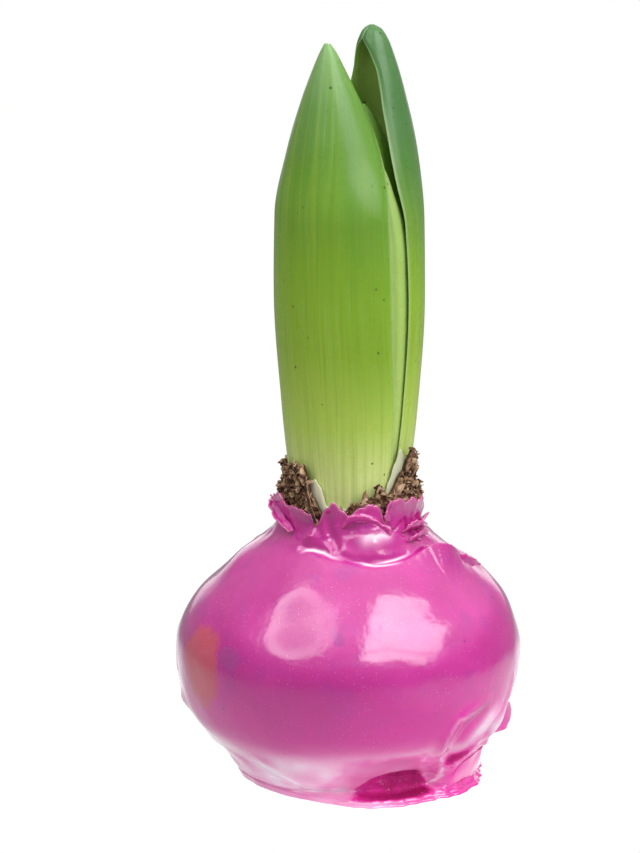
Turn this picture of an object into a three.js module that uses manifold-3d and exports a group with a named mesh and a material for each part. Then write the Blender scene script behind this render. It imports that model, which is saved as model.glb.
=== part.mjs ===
// A hyacinth bulb dipped in wax, with its shoot of leaves standing closed round the flower bud.
// Millimetres, +Z up. The origin is on the surface that the bulb stands on, below its middle.
// The front of the bulb looks along -Y. Angles go round the axis in degrees: 0 is the front (-Y),
// 90 is the right (+X), 180 is the back (+Y) and -90 is the left (-X).
import * as THREE from "three";
import { mergeVertices } from "three/addons/utils/BufferGeometryUtils.js";
import Module from "manifold-3d";

const wasm = await Module();
wasm.setup();

// ---- driving dimensions -------------------------------------------------------------------------

const GAP = 0.3; // clearance between pieces that touch
const COLUMNS = 54; // faces round the bulb, its coat and its tunic
const NECK_SHIFT = 0.3; // the neck and the shoot stand this far to the right of the bulb's axis

// The bulb's skin, from the middle of its base to its shoulder: [radius, z].
const BULB_SKIN = [
  [0, 2.3], [16.2, 3], [20.2, 5.4], [24.6, 9.8], [28.5, 15], [30.2, 21.5], [30, 26], [27.6, 31.4], [22.6, 36.6],
  [17.3, 40.9],
];
const BULB_SHOULDER = [[15.9, 41], [14.75, 42.3], [12.9, 44.4], [11.45, 46.9]]; // on, under the tunic
const NECK_TOP = 49; // above this height the rings of the neck follow the shoot
const SOCKET_FLOOR = 37.7; // the bottom of the hole that the shoot grows from
const SCALE_WALL = 0.62;

// The dry tunic round the neck, up its outside and down its inside, below NECK_TOP.
const TUNIC_OUTSIDE = [[16.9, 42], [15.6, 43.4], [13.7, 45.4], [12.4, 47.4]];
const TUNIC_INSIDE = [[11.8, 47], [13.2, 44.7], [15.1, 42.6], [16.3, 41.4]];
const TUNIC_WALL = 0.7;
const TUNIC_CRUMBS = 26;

// The wax coat's outside, from the middle of the underside up to the rim round the neck: [radius, z].
const WAX_OUTSIDE = [
  [0, 0], [21.6, 0], [22.6, 0.9], [21.8, 1.9], [20.2, 2.4], [21.6, 4], [25.2, 7.6], [29.2, 12], [31.5, 18],
  [32.2, 24.5], [31.2, 29], [28.6, 33.5], [24.4, 37.8], [20.4, 41.2], [17.6, 43.8], [15.4, 45.8], [13.7, 47.8],
  [13.4, 49.3], [13.5, 50.9], [13.8, 52.6],
];
const WAX_FINE = 12; // from this point on there is a row halfway to the next one too
const RIM_START = 47.8; // above this height the collar is stretched up or down to its torn rim
const RIM_LEVEL = 52.6; // the height of the rim in the list above

// The foot is a puddle of wax that set round the base: its outline is a circle off the axis.
const FOOT = { radius: 22.6, right: 2.45, forward: 0.5, top: 2.2, fade: 4.5 };

// The skirt is where the wax ran straight down to the foot, on the right.
const SKIRT = { from: 41, to: 101, ease: 9, radius: 25.1, slope: 0.13, top: 9 };

// Rolls, lips, dents and runs of wax: [angle, z, half-angle, half-height, rise along the surface's normal].
const WAX_LUMPS = [
  [13, 47.3, 21, 2.1, 2.9], // the roll in front of the neck
  [-29, 47.6, 11, 1.9, 1.5], // the smaller roll on its left
  [64, 42.8, 21, 1.5, 3.1], // the lip on the right shoulder
  [45, 43.6, 9, 1.2, 1.5], // where the lip runs into the roll
  [100, 39.4, 7, 2.6, 1.2], // the flake behind that lip
  [14, 43.9, 30, 0.9, -0.7], // the crease under the roll
  [150, 46.6, 16, 2, 1.8], // rolls and lips on the back of the neck
  [-150, 46.9, 18, 2, 2.1],
  [-118, 42.6, 12, 1.4, 1.6],
  [172, 41.6, 15, 1.3, 1.7],
  [-92, 14.6, 8, 1.6, 0.7], // the run on the left side
  [84, 10.6, 7, 2.2, 1.1], // the run on the right side
  [63, 14, 7, 5, 0.8], // folds above the skirt
  [50, 9, 4.5, 3.6, 1.1],
  [76, 7, 5, 3, 0.9],
  [21, 3.9, 14, 1.7, -1.5], // the pocket under the bulb, in front
  [-50, 4.2, 16, 1.4, -0.8],
  [135, 6, 9, 4, 1.2], // runs on the back of the base
  [-140, 5, 11, 3, 1.3],
  [178, 9, 8, 5, 0.9],
  [-16, 27, 20, 8, 0.45], // the soft lumps of the bulb that show through the coat
  [30, 24, 16, 8, -0.35],
  [-60, 22, 20, 9, -0.4],
  [66, 28, 18, 8, 0.4],
  [120, 20, 24, 10, -0.5],
  [-125, 26, 24, 9, 0.5],
  [165, 30, 22, 8, 0.45],
  [-170, 17, 22, 8, -0.45],
];

// Torn edges: [angle, height].
const WAX_RIM = [
  [-98, 52.6], [-88, 51], [-78, 53], [-67, 54.7], [-57, 52.8], [-45, 53], [-35, 52.2], [-25, 50.8],
  [-19, 53.4], [-13, 54.8], [-7, 53.6], [-1, 52.2], [7, 53.8], [15, 54.4], [22, 53.8], [28, 51], [35, 54.8],
  [40, 55], [46, 54], [54, 54.6], [63, 53], [73, 53.5], [82, 51.8], [92, 50.6], [104, 52.8], [116, 53.6],
  [127, 51.5], [141, 54.2], [155, 52], [170, 53.6], [185, 51.4], [200, 53.8], [215, 51.8], [230, 54.2],
  [247, 51.6],
];
const TUNIC_RIM = [
  [-96, 55], [-84, 57], [-75, 61.3], [-67, 59], [-57, 60.2], [-47, 59.6], [-38, 61.2], [-33, 57.6], [-27, 54],
  [-20, 53], [-5, 52.7], [3, 53.2], [8, 54.6], [13, 56.8], [18, 55.6], [25, 57.2], [32, 56.8], [39, 58.4],
  [46, 58.2], [52, 61], [58, 63.4], [66, 63], [72, 64.4], [79, 62.6], [84, 58.6], [90, 57], [105, 59.2],
  [120, 56], [136, 60.5], [150, 57], [165, 59.5], [180, 55.2], [195, 58], [210, 60.5], [225, 56], [240, 58.6],
  [253, 56.5],
];
const SCALE_RIM = [
  [-90, 53], [-48, 53], [-38, 57.2], [-31, 57.7], [-22, 53.2], [0, 53], [32, 53.4], [39, 60],
  [46, 63.4], [53, 61.5], [62, 54], [100, 53.4], [115, 58], [128, 54], [178, 53.2], [195, 61],
  [210, 54], [240, 53],
];

// The leaves, from the outside in. A section is an arc of a circle: [z, centre x, centre y, radius, half-angle].
const LEAF_BASE = 38;
const LEAVES = [
  {
    name: "leaf_front", midrib: -42, thick: 1.1, across: 10, along: 20,
    sections: [
      [38, 0.3, 0, 8.4, 84], [52, 0.3, 0, 10.5, 86], [70, 0.3, 0, 12.55, 83.5], [90, 0.1, 0, 13.75, 77.5],
      [105.6, -0.45, -0.5, 13.05, 80], [117.5, -2, -1.4, 9.25, 102], [124.8, -2.85, -2.2, 6.4, 118],
      [131.8, -3.54, -3, 3.28, 138], [135.6, -3.75, -3.4, 1.5, 148], [137.2, -3.9, -3.6, 0.55, 150],
    ],
  },
  {
    name: "leaf_back", midrib: 125, thick: 1.1, across: 10, along: 20,
    sections: [
      [38, 0.3, 0, 8.35, 78], [52, 0.3, 0, 10.4, 78], [70, 0.35, 0, 12.45, 74], [90, 0.3, 0, 13.7, 73],
      [104.5, 1.15, 0.6, 12.7, 78], [113.3, 2.7, 1.6, 10.4, 91], [123.8, 4.3, 2.6, 6.9, 107],
      [131.6, 4.65, 3, 4.5, 119], [136, 4.47, 3.2, 3.14, 142], [138.6, 4.3, 3.3, 1.8, 148],
      [139.9, 4.2, 3.3, 0.6, 150],
    ],
  },
  {
    name: "leaf_second", midrib: -8, thick: 0.9, across: 10, along: 18,
    sections: [
      [38, 0.3, 0, 6.95, 60], [52, 0.3, 0, 9, 60], [70, 0.3, 0, 11.1, 61], [90, 0.1, 0, 12.2, 59],
      [99, 0, 0, 12, 59], [104.2, 0, -0.2, 11.3, 60], [111.4, -0.1, -0.5, 9.5, 60], [116, -0.5, -0.9, 7.6, 60],
      [120, -0.9, -1.3, 5, 62], [122.5, -1.1, -1.6, 2.6, 70], [123.6, -1.2, -1.7, 0.7, 80],
    ],
  },
  {
    name: "leaf_rear", midrib: 232, thick: 0.9, across: 10, along: 18,
    sections: [
      [38, 0.3, 0, 6.95, 56], [52, 0.3, 0, 9, 56], [70, 0.2, 0, 11.1, 56], [90, 0.1, 0, 12.2, 55],
      [100, -0.2, 0.3, 11.6, 55], [108, -0.8, 0.8, 9.3, 58], [114, -1.4, 1.3, 6.2, 62],
      [118, -1.9, 1.7, 3.2, 70], [120, -2.1, 1.9, 1.4, 85], [120.7, -2.1, 1.9, 0.7, 90],
    ],
  },
  {
    name: "leaf_inner", midrib: 40, thick: 0.85, across: 10, along: 18,
    sections: [
      [38, 0.1, 0.2, 5.8, 60], [52, 0.2, 0.2, 7.8, 60], [70, 0.3, 0.1, 9.8, 62], [90, 0.3, 0.1, 10.9, 60],
      [104, 0.7, 0.5, 9.8, 56], [111.2, 0.9, 0.8, 8.3, 50], [117.5, 1.4, 1, 6.1, 60],
      [121.5, 1.9, 1.1, 3.9, 80], [124.6, 2.2, 0.8, 1.6, 115], [125.6, 2.3, 0.7, 0.7, 120],
    ],
  },
];
const MARGIN_THICKNESS = 0.6; // a leaf thins to this at its two edges

// The flower bud on its stalk, inside the leaves: [radius, z] of the core, and the unopened florets on it.
const STALK = [[0, 38], [3.6, 38], [4.3, 46], [4.4, 54], [5, 60], [5.9, 70], [5.7, 80], [4.4, 90], [2.4, 97], [0, 99]];
const FLORETS = { count: 42, from: 60, to: 98, turn: 137.5, long: 3.3, wide: 1.75, lift: 0.9, lean: 28 };

// ---- numbers and shapes -------------------------------------------------------------------------

const radians = THREE.MathUtils.degToRad;
const clamp = THREE.MathUtils.clamp;
const smooth = (from, to, x) => THREE.MathUtils.smoothstep(x, from, to);
const bell = (x) => Math.exp(-x * x);

// The signed turn from one angle to another, from -180 to 180 degrees.
const turnBetween = (a, b) => ((((b - a) % 360) + 540) % 360) - 180;

// A fixed stream of numbers from 0 to 1.
function randomStream(seed) {
  let state = seed;
  return () => {
    state = (state * 1664525 + 1013904223) % 4294967296;
    return state / 4294967296;
  };
}

// A smooth curve through [x, y] points that never overshoots them.
function through(points) {
  const slope = points.slice(1).map(([x, y], i) => (y - points[i][1]) / (x - points[i][0]));
  const tangent = points.map((_, i) => {
    const before = slope[Math.max(i - 1, 0)];
    const after = slope[Math.min(i, slope.length - 1)];
    return before * after <= 0 ? 0 : (2 * before * after) / (before + after);
  });
  return (x) => {
    const i = clamp(points.findIndex((p) => p[0] >= x) - 1, 0, points.length - 2);
    const last = x >= points[points.length - 1][0] ? points.length - 2 : i;
    const [x0, y0] = points[last];
    const [x1, y1] = points[last + 1];
    const step = x1 - x0;
    const t = clamp((x - x0) / step, 0, 1);
    const rise = y1 - y0;
    const a = tangent[last] * step - rise;
    const b = rise - tangent[last + 1] * step;
    return y0 + t * rise + t * (1 - t) * (a * (1 - t) + b * t);
  };
}

// A curve round the axis through [angle, height] points, level at each of them.
function around(points) {
  return (angle) => {
    const turned = points[0][0] + ((((angle - points[0][0]) % 360) + 360) % 360);
    const next = points.findIndex((p) => p[0] > turned);
    const [a1, h1] = next < 0 ? [points[0][0] + 360, points[0][1]] : points[next];
    const [a0, h0] = points[next < 0 ? points.length - 1 : next - 1];
    return THREE.MathUtils.lerp(h0, h1, smooth(a0, a1, turned));
  };
}

// A point at an angle and radius round a centre.
function polar(angle, radius, z, x = 0, y = 0) {
  const a = radians(angle);
  return new THREE.Vector3(x + radius * Math.sin(a), y - radius * Math.cos(a), z);
}

function geometryOf(points, faces) {
  let volume = 0;
  for (const [a, b, c] of faces) volume += points[a].dot(points[b].clone().cross(points[c]));
  const index = faces.flatMap(([a, b, c]) => (volume < 0 ? [a, c, b] : [a, b, c]));
  return new THREE.BufferGeometry()
    .setAttribute("position", new THREE.Float32BufferAttribute(points.flatMap((p) => p.toArray()), 3))
    .setIndex(index);
}

// A profile moved out by a distance along its normals.
function movedOut(profile, distance) {
  return profile.map(([r, z], i) => {
    const [r0, z0] = profile[Math.max(i - 1, 0)];
    const [r1, z1] = profile[Math.min(i + 1, profile.length - 1)];
    const share = distance / Math.hypot(r1 - r0, z1 - z0);
    return [r === 0 ? 0 : r + (z1 - z0) * share, z - (r1 - r0) * share];
  });
}

// Two matching grids of points, a front and a back, closed by walls round the edge.
// across and along count the cells, and u and v go from 0 to 1.
function plate(front, back, across, along) {
  const points = [];
  for (const side of [front, back])
    for (let j = 0; j <= along; j++) for (let i = 0; i <= across; i++) points.push(side(i / across, j / along));
  const half = (across + 1) * (along + 1);
  const at = (i, j) => j * (across + 1) + i;
  const faces = [];
  for (let j = 0; j < along; j++)
    for (let i = 0; i < across; i++) {
      const [a, b, c, d] = [at(i, j), at(i + 1, j), at(i + 1, j + 1), at(i, j + 1)];
      faces.push([a, b, c], [a, c, d], [half + a, half + c, half + b], [half + a, half + d, half + c]);
    }
  const edge = [];
  for (let i = 0; i < across; i++) edge.push(at(i, 0));
  for (let j = 0; j < along; j++) edge.push(at(across, j));
  for (let i = across; i > 0; i--) edge.push(at(i, along));
  for (let j = along; j > 0; j--) edge.push(at(0, j));
  edge.forEach((a, k) => {
    const b = edge[(k + 1) % edge.length];
    faces.push([a, half + a, b], [b, half + a, half + b]);
  });
  return geometryOf(points, faces);
}

// Rows of points round the axis. With poles the first and last rows shrink to a point each,
// and without them the last row joins the first.
function turned(rows, columns, poles, pointAt) {
  const points = [];
  const faces = [];
  const start = [];
  const single = (row) => poles && (row === 0 || row === rows - 1);
  for (let row = 0; row < rows; row++) {
    start.push(points.length);
    for (let i = 0; i < (single(row) ? 1 : columns); i++) points.push(pointAt(row, (i * 360) / columns));
  }
  const at = (row, i) => start[row] + (single(row) ? 0 : i % columns);
  for (let row = 0; row < (poles ? rows - 1 : rows); row++) {
    const up = (row + 1) % rows;
    for (let i = 0; i < columns; i++) {
      if (!single(row)) faces.push([at(row, i), at(row, i + 1), at(up, i)]);
      if (!single(up)) faces.push([at(up, i), at(row, i + 1), at(up, i + 1)]);
    }
  }
  return geometryOf(points, faces);
}

function solidOf(geometry) {
  const bare = new THREE.BufferGeometry().setAttribute("position", geometry.getAttribute("position"));
  if (geometry.index) bare.setIndex(geometry.index);
  const merged = mergeVertices(bare, 1e-4);
  return new wasm.Manifold(
    new wasm.Mesh({
      numProp: 3,
      vertProperties: merged.attributes.position.array,
      triVerts: new Uint32Array(merged.index.array),
    }),
  );
}

function geometryFrom(solid) {
  const { vertProperties, triVerts } = solid.getMesh();
  return new THREE.BufferGeometry()
    .setAttribute("position", new THREE.Float32BufferAttribute(vertProperties, 3))
    .setIndex(new THREE.BufferAttribute(triVerts, 1));
}

// A body with its small pieces joined to it, as one geometry.
const fused = (geometries) => geometryFrom(geometries.map(solidOf).reduce((a, b) => a.add(b)));

// ---- the neck, which the rings of scale, tunic and wax share ------------------------------------

const shootRadius = through(LEAVES[0].sections.map(([z, , , radius]) => [z, radius]));
const neckShift = (z) => NECK_SHIFT * smooth(SOCKET_FLOOR, NECK_TOP, z);
const waxRim = around(WAX_RIM);
const tunicRim = around(TUNIC_RIM);
const scaleRim = around(SCALE_RIM);
const scaleInner = (z) => shootRadius(z) + GAP + 0.05;
const overScale = (z) => scaleInner(z) + SCALE_WALL + GAP;
const waxInner = (z) => overScale(z) + TUNIC_WALL + GAP;

// The tunic lies over the scales, and leans in against the shoot above their torn edge.
const scaleTop = (angle) => Math.max(scaleRim(angle - 360 / COLUMNS), scaleRim(angle), scaleRim(angle + 360 / COLUMNS));
const tunicInner = (z, angle) =>
  THREE.MathUtils.lerp(overScale(z), scaleInner(z), smooth(1, 4, z - scaleTop(angle)));

// ---- the wax coat -------------------------------------------------------------------------------

// The foot's outline: how far out it reaches at an angle.
function footRadius(angle) {
  const a = radians(angle);
  const along = FOOT.right * Math.sin(a) + FOOT.forward * Math.cos(a);
  const aside = FOOT.right * Math.cos(a) - FOOT.forward * Math.sin(a);
  return along + Math.sqrt(FOOT.radius ** 2 - aside ** 2);
}

// How fully the skirt is there at an angle, from 0 to 1.
const skirtShare = (angle) =>
  smooth(SKIRT.from, SKIRT.from + SKIRT.ease, angle) * (1 - smooth(SKIRT.to - SKIRT.ease, SKIRT.to, angle));

// Moves a collar point up or down, so that the listed rim lies at the torn one.
const toRim = (z, angle) =>
  z <= RIM_START ? z : RIM_START + ((z - RIM_START) * (waxRim(angle) - RIM_START)) / (RIM_LEVEL - RIM_START);

// The coat's outside at a share t of the way along its profile.
function waxOutside(curve, t, angle) {
  const { x: radius, y: z } = curve.getPoint(t);
  const tangent = curve.getTangent(t);
  let rise = 0;
  for (const [lumpAngle, lumpZ, halfAngle, halfHeight, height] of WAX_LUMPS)
    rise += height * bell(turnBetween(lumpAngle, angle) / halfAngle) * bell((z - lumpZ) / halfHeight);
  rise *= smooth(0.9, 3, z); // the underside stays flat
  const foot = (1 - smooth(FOOT.top, FOOT.fade, z)) * (footRadius(angle) / FOOT.radius - 1);
  let r = radius * (1 + foot) + tangent.y * rise;
  if (z > 0.9 && z < SKIRT.top) r += skirtShare(angle) * Math.max(0, SKIRT.radius + SKIRT.slope * z - r);
  return polar(angle, r, toRim(z - tangent.x * rise, angle), neckShift(z));
}

// A tongue of wax that stands off the collar, along a path of [radius, z] points.
function tongue({ angle, halfAngle, path, thick, lean = 0 }) {
  const curve = new THREE.SplineCurve(path.map(([r, z]) => new THREE.Vector2(r, z)));
  const side = (offset) => (u, v) => {
    const { x: r, y: z } = curve.getPoint(v);
    const tangent = curve.getTangent(v);
    const width = halfAngle * Math.sqrt(1 - 0.92 * v * v);
    return polar(
      angle + lean * v + width * (2 * u - 1),
      r + offset * tangent.y,
      z - offset * tangent.x,
      NECK_SHIFT,
    );
  };
  return plate(side(thick / 2), side(-thick / 2), 3, 5);
}

const WAX_TONGUES = [
  { angle: -90, halfAngle: 10, path: [[13.7, 47.4], [13.9, 49.2], [14.2, 51], [14.3, 52.6]], thick: 0.8, lean: -3 },
  { angle: 84, halfAngle: 8, path: [[13.4, 48.9], [13.9, 49.4], [14.2, 50.1], [14, 51.2]], thick: 0.8, lean: 5 },
  { angle: 80, halfAngle: 7, path: [[14.1, 46.4], [14.6, 47], [14.8, 47.8]], thick: 0.8 },
  { angle: 188, halfAngle: 9, path: [[13.8, 46.8], [14.4, 48], [15.1, 49.8], [15, 51.4]], thick: 0.8, lean: 4 },
];

function waxCoat() {
  const outside = new THREE.SplineCurve(WAX_OUTSIDE.map(([r, z]) => new THREE.Vector2(r, z)));
  const last = WAX_OUTSIDE.length - 1;
  const steps = WAX_OUTSIDE.flatMap((_, i) => (i >= WAX_FINE && i < last ? [i / last, (i + 0.5) / last] : [i / last]));
  const lining = [...movedOut(BULB_SKIN, GAP), ...movedOut(TUNIC_OUTSIDE, GAP)];
  const neckRows = [RIM_LEVEL, (RIM_LEVEL + NECK_TOP) / 2, NECK_TOP];
  const rows = steps.length + neckRows.length + lining.length;
  const shell = turned(rows, COLUMNS, true, (row, angle) => {
    const turn = turnBetween(0, angle);
    if (row < steps.length) return waxOutside(outside, steps[row], turn);
    const down = row - steps.length;
    if (down < neckRows.length) {
      const z = toRim(neckRows[down], turn);
      return polar(angle, waxInner(z), z, neckShift(z));
    }
    const [r, z] = lining[rows - 1 - row];
    return polar(angle, r, z, neckShift(z));
  });
  return fused([shell, ...WAX_TONGUES.map(tongue)]);
}

// ---- the bulb and its dry tunic -----------------------------------------------------------------

// The rows of a torn ring, up its outside and down its inside: [share of the way to the rim, wall].
function ringRows(steps, wall) {
  const shares = Array.from({ length: steps + 1 }, (_, i) => i / steps);
  return [...shares.map((share) => [share, wall]), ...shares.toReversed().map((share) => [share, 0])];
}

function bulb() {
  const outer = [...BULB_SKIN, ...BULB_SHOULDER];
  const rim = ringRows(3, SCALE_WALL);
  const floor = [[0, SOCKET_FLOOR], [scaleInner(SOCKET_FLOOR), SOCKET_FLOOR]];
  const rows = outer.length + rim.length + floor.length;
  return turned(rows, COLUMNS, true, (row, angle) => {
    if (row < outer.length) return polar(angle, ...outer[row], neckShift(outer[row][1]));
    if (row >= rows - floor.length) return polar(angle, ...floor[rows - 1 - row], NECK_SHIFT);
    const [share, wall] = rim[row - outer.length];
    const z = THREE.MathUtils.lerp(NECK_TOP, scaleRim(turnBetween(0, angle)), share);
    return polar(angle, scaleInner(z) + wall, z, NECK_SHIFT);
  });
}

function tunicRing() {
  const rim = ringRows(4, TUNIC_WALL);
  const rows = TUNIC_OUTSIDE.length + rim.length + TUNIC_INSIDE.length;
  return turned(rows, COLUMNS, false, (row, angle) => {
    if (row < TUNIC_OUTSIDE.length) return polar(angle, ...TUNIC_OUTSIDE[row], neckShift(TUNIC_OUTSIDE[row][1]));
    const up = row - TUNIC_OUTSIDE.length;
    if (up >= rim.length) {
      const [r, z] = TUNIC_INSIDE[up - rim.length];
      return polar(angle, r, z, neckShift(z));
    }
    const [share, wall] = rim[up];
    const z = THREE.MathUtils.lerp(NECK_TOP, tunicRim(angle), share);
    return polar(angle, tunicInner(z, angle) + wall, z, NECK_SHIFT);
  });
}

// Crumbs of dry skin that cling to the tunic above the wax.
function tunicCrumbs() {
  const random = randomStream(7);
  const crumbs = [];
  while (crumbs.length < TUNIC_CRUMBS) {
    const angle = 360 * random();
    const size = 0.55 + 0.5 * random();
    const lowest = waxRim(angle) + size + 0.8;
    const z = lowest + (tunicRim(angle) - lowest) * (0.25 + 0.75 * random());
    const spin = new THREE.Euler(3 * random(), 3 * random(), 3 * random());
    const stretch = new THREE.Vector3(size * (0.7 + 0.5 * random()), size * 0.75, size);
    if (tunicRim(angle) < lowest + 0.3) continue;
    const flake = new THREE.OctahedronGeometry(1);
    flake.scale(stretch.x, stretch.y, stretch.z);
    flake.applyMatrix4(new THREE.Matrix4().makeRotationFromEuler(spin));
    const place = polar(angle, tunicInner(z, angle) + TUNIC_WALL + 0.1, z - 0.3, NECK_SHIFT);
    crumbs.push(flake.translate(place.x, place.y, place.z));
  }
  return crumbs;
}

// ---- the leaves ---------------------------------------------------------------------------------

function leaf({ midrib, thick, across, along, sections }) {
  const column = (k) => through(sections.map((s) => [s[0], s[k]]));
  const [centreX, centreY, radius, halfAngle] = [1, 2, 3, 4].map(column);
  const tip = sections[sections.length - 1][0];
  const side = (inner) => (u, v) => {
    const w = 2 * u - 1;
    const z = LEAF_BASE + (tip - LEAF_BASE) * (1 - (1 - v) ** 1.75); // rows crowd towards the hooded tip
    const wall = Math.min(MARGIN_THICKNESS + (thick - MARGIN_THICKNESS) * (1 - w * w), 0.6 * radius(z));
    return polar(midrib + w * halfAngle(z), radius(z) - (inner ? wall : 0), z, centreX(z), centreY(z));
  };
  return plate(side(false), side(true), across, along);
}

// ---- the flower bud -----------------------------------------------------------------------------

function flowerBud() {
  const curve = STALK.map(([r, z]) => new THREE.Vector2(r, z));
  const core = turned(curve.length, 12, true, (row, angle) => polar(angle, curve[row].x, curve[row].y, NECK_SHIFT));
  const coreRadius = through(STALK.slice(1).map(([r, z], i) => [i === 0 ? z - 0.01 : z, r]));
  const florets = [];
  for (let k = 0; k < FLORETS.count; k++) {
    const share = k / (FLORETS.count - 1);
    const z = THREE.MathUtils.lerp(FLORETS.from, FLORETS.to, share ** 0.85);
    const shrink = 1 - 0.45 * share;
    const floret = new THREE.OctahedronGeometry(1);
    floret.scale(FLORETS.wide * shrink, FLORETS.wide * shrink, FLORETS.long * shrink);
    floret.rotateX(radians(FLORETS.lean)); // the tip leans outwards
    floret.rotateZ(radians(k * FLORETS.turn));
    const place = polar(k * FLORETS.turn, coreRadius(z) + FLORETS.lift * shrink - 0.4, z, NECK_SHIFT);
    florets.push(floret.translate(place.x, place.y, place.z));
  }
  return fused([core, ...florets]);
}

// ---- the plant ----------------------------------------------------------------------------------

const finish = (color, roughness) => new THREE.MeshStandardMaterial({ color, roughness, metalness: 0 });
const MAGENTA_WAX = finish(0xd23c9b, 0.2);
const CREAM_SCALE = finish(0xd9d6b4, 0.55);
const BROWN_SKIN = finish(0x8a6248, 0.9);
const GREEN_LEAF = finish(0x7fa83a, 0.35);
const PALE_BUD = finish(0x9bbb55, 0.5);

const plant = new THREE.Group();

function add(name, geometry, material) {
  const mesh = new THREE.Mesh(geometry, material);
  mesh.name = name;
  plant.add(mesh);
}

add("wax_coat", waxCoat(), MAGENTA_WAX);
add("bulb", bulb(), CREAM_SCALE);
add("tunic", fused([tunicRing(), ...tunicCrumbs()]), BROWN_SKIN);
for (const shape of LEAVES) add(shape.name, leaf(shape), GREEN_LEAF);
add("flower_bud", flowerBud(), PALE_BUD);

export default plant;
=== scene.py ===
"""A hyacinth bulb dipped in magenta wax, with its closed shoot of leaves.

Shapes are given in millimetres and become metres in one place, make_mesh(). Angles go round the bulb's
axis in degrees: 0 is the front (-Y), 90 the right (+X), 180 the back and -90 the left. Each point of a
mesh carries a vector named "lay", which tells its material what lies there.
"""

import math

import bpy
import numpy as np
from mathutils import Matrix, Vector


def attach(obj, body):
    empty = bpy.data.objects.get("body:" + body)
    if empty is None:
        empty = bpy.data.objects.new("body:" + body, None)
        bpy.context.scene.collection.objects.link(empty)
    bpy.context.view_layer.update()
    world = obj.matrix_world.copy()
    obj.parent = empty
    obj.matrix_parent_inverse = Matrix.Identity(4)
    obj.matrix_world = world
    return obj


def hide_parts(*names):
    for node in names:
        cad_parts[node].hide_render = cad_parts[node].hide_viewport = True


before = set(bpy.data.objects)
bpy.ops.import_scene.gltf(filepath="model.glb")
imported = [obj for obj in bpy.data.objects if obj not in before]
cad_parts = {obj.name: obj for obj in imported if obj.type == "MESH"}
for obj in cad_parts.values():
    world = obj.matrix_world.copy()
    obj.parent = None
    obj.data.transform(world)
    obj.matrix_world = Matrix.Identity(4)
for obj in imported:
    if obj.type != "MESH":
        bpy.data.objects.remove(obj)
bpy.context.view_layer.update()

MM = 0.001

# ---- the camera -------------------------------------------------------------------------------------

CAMERA_AT = (-5.2, -730.8, 234.6)  # 0.75 m from the middle of the part
CAMERA_PITCH = 13  # degrees down from level
PHOTO_HEIGHT = 853  # pixels
FOCAL_PIXELS = 4070
SENSOR = 36
NEAREST_SEEN = 10

camera = bpy.data.objects.new("camera", bpy.data.cameras.new("camera"))
bpy.context.scene.collection.objects.link(camera)
camera.location = Vector(CAMERA_AT) * MM
camera.rotation_euler = (math.radians(90 - CAMERA_PITCH), 0, 0)
camera.data.sensor_width = SENSOR
camera.data.lens = SENSOR * FOCAL_PIXELS / PHOTO_HEIGHT
camera.data.clip_start = NEAREST_SEEN * MM
bpy.context.scene.camera = camera

# ---- numbers and curves -----------------------------------------------------------------------------


def smooth(low, high, x):
    """0 below low, 1 above high, and a smooth step between them."""
    t = np.clip((x - low) / (high - low), 0, 1)
    return t * t * (3 - 2 * t)


def bell(x):
    """A bump that is 1 at 0 and has sunk to about a third at 1."""
    return np.exp(-x * x)


def turn(a, b):
    """The signed turn from angle a to angle b, from -180 to 180 degrees."""
    return (b - a + 180) % 360 - 180


def through(points):
    """A smooth curve through (x, y) points that never overshoots them."""
    x, y = np.array(points, float).T
    slope = np.diff(y) / np.diff(x)
    before = np.r_[slope[0], slope]
    after = np.r_[slope, slope[-1]]
    product = before * after
    total = np.where(before + after == 0, 1, before + after)
    tangent = np.where(product > 0, 2 * product / total, 0)

    def curve(at):
        i = np.clip(np.searchsorted(x, at) - 1, 0, len(x) - 2)
        step = x[i + 1] - x[i]
        rise = y[i + 1] - y[i]
        t = np.clip((at - x[i]) / step, 0, 1)
        a = tangent[i] * step - rise
        b = rise - tangent[i + 1] * step
        return y[i] + t * rise + t * (1 - t) * (a * (1 - t) + b * t)

    return curve


def around(points):
    """A curve round the axis through (angle, value) points, level at each of them."""
    angle, value = np.array(points + [(points[0][0] + 360, points[0][1])], float).T

    def curve(at):
        turned = angle[0] + (at - angle[0]) % 360
        i = np.clip(np.searchsorted(angle, turned, side="right") - 1, 0, len(angle) - 2)
        return value[i] + (value[i + 1] - value[i]) * smooth(angle[i], angle[i + 1], turned)

    return curve


def spline(points, at):
    """A smooth line through points of any size, read at their numbers, fractions included."""
    p = np.array(points, float)
    p = np.concatenate([2 * p[:1] - p[1:2], p, 2 * p[-1:] - p[-2:-1]])
    i = np.clip(np.floor(at).astype(int), 0, len(p) - 4)
    t = (at - i).reshape(-1, *[1] * (p.ndim - 1))
    a, b, c, d = p[i], p[i + 1], p[i + 2], p[i + 3]
    return 0.5 * (2 * b + (c - a) * t + (2 * a - 5 * b + 4 * c - d) * t**2 + (3 * b - 3 * c + d - a) * t**3)


def polar(angle, radius, z, x=0.0, y=0.0):
    """Points at an angle, a radius and a height, round an upright axis through x and y."""
    a = np.radians(angle)
    return np.stack(np.broadcast_arrays(x + radius * np.sin(a), y - radius * np.cos(a), z), -1)


def turns(columns):
    """Angles evenly spaced once round, as one row."""
    return turn(0, np.arange(columns) * 360 / columns)[None, :]


def ripple(points, size, seed, waves=16):
    """A smooth random field over points in space, mostly from -1 to 1, with bumps about size wide."""
    rng = np.random.default_rng(seed)
    direction = rng.normal(size=(waves, 3))
    direction /= np.linalg.norm(direction, axis=1)[:, None]
    number = direction * (math.pi / size * rng.uniform(0.6, 1.5, waves))[:, None]
    phase = rng.uniform(0, 2 * math.pi, waves)
    return np.sin(points @ number.T + phase).sum(-1) / math.sqrt(waves)


# ---- node trees -------------------------------------------------------------------------------------


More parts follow.
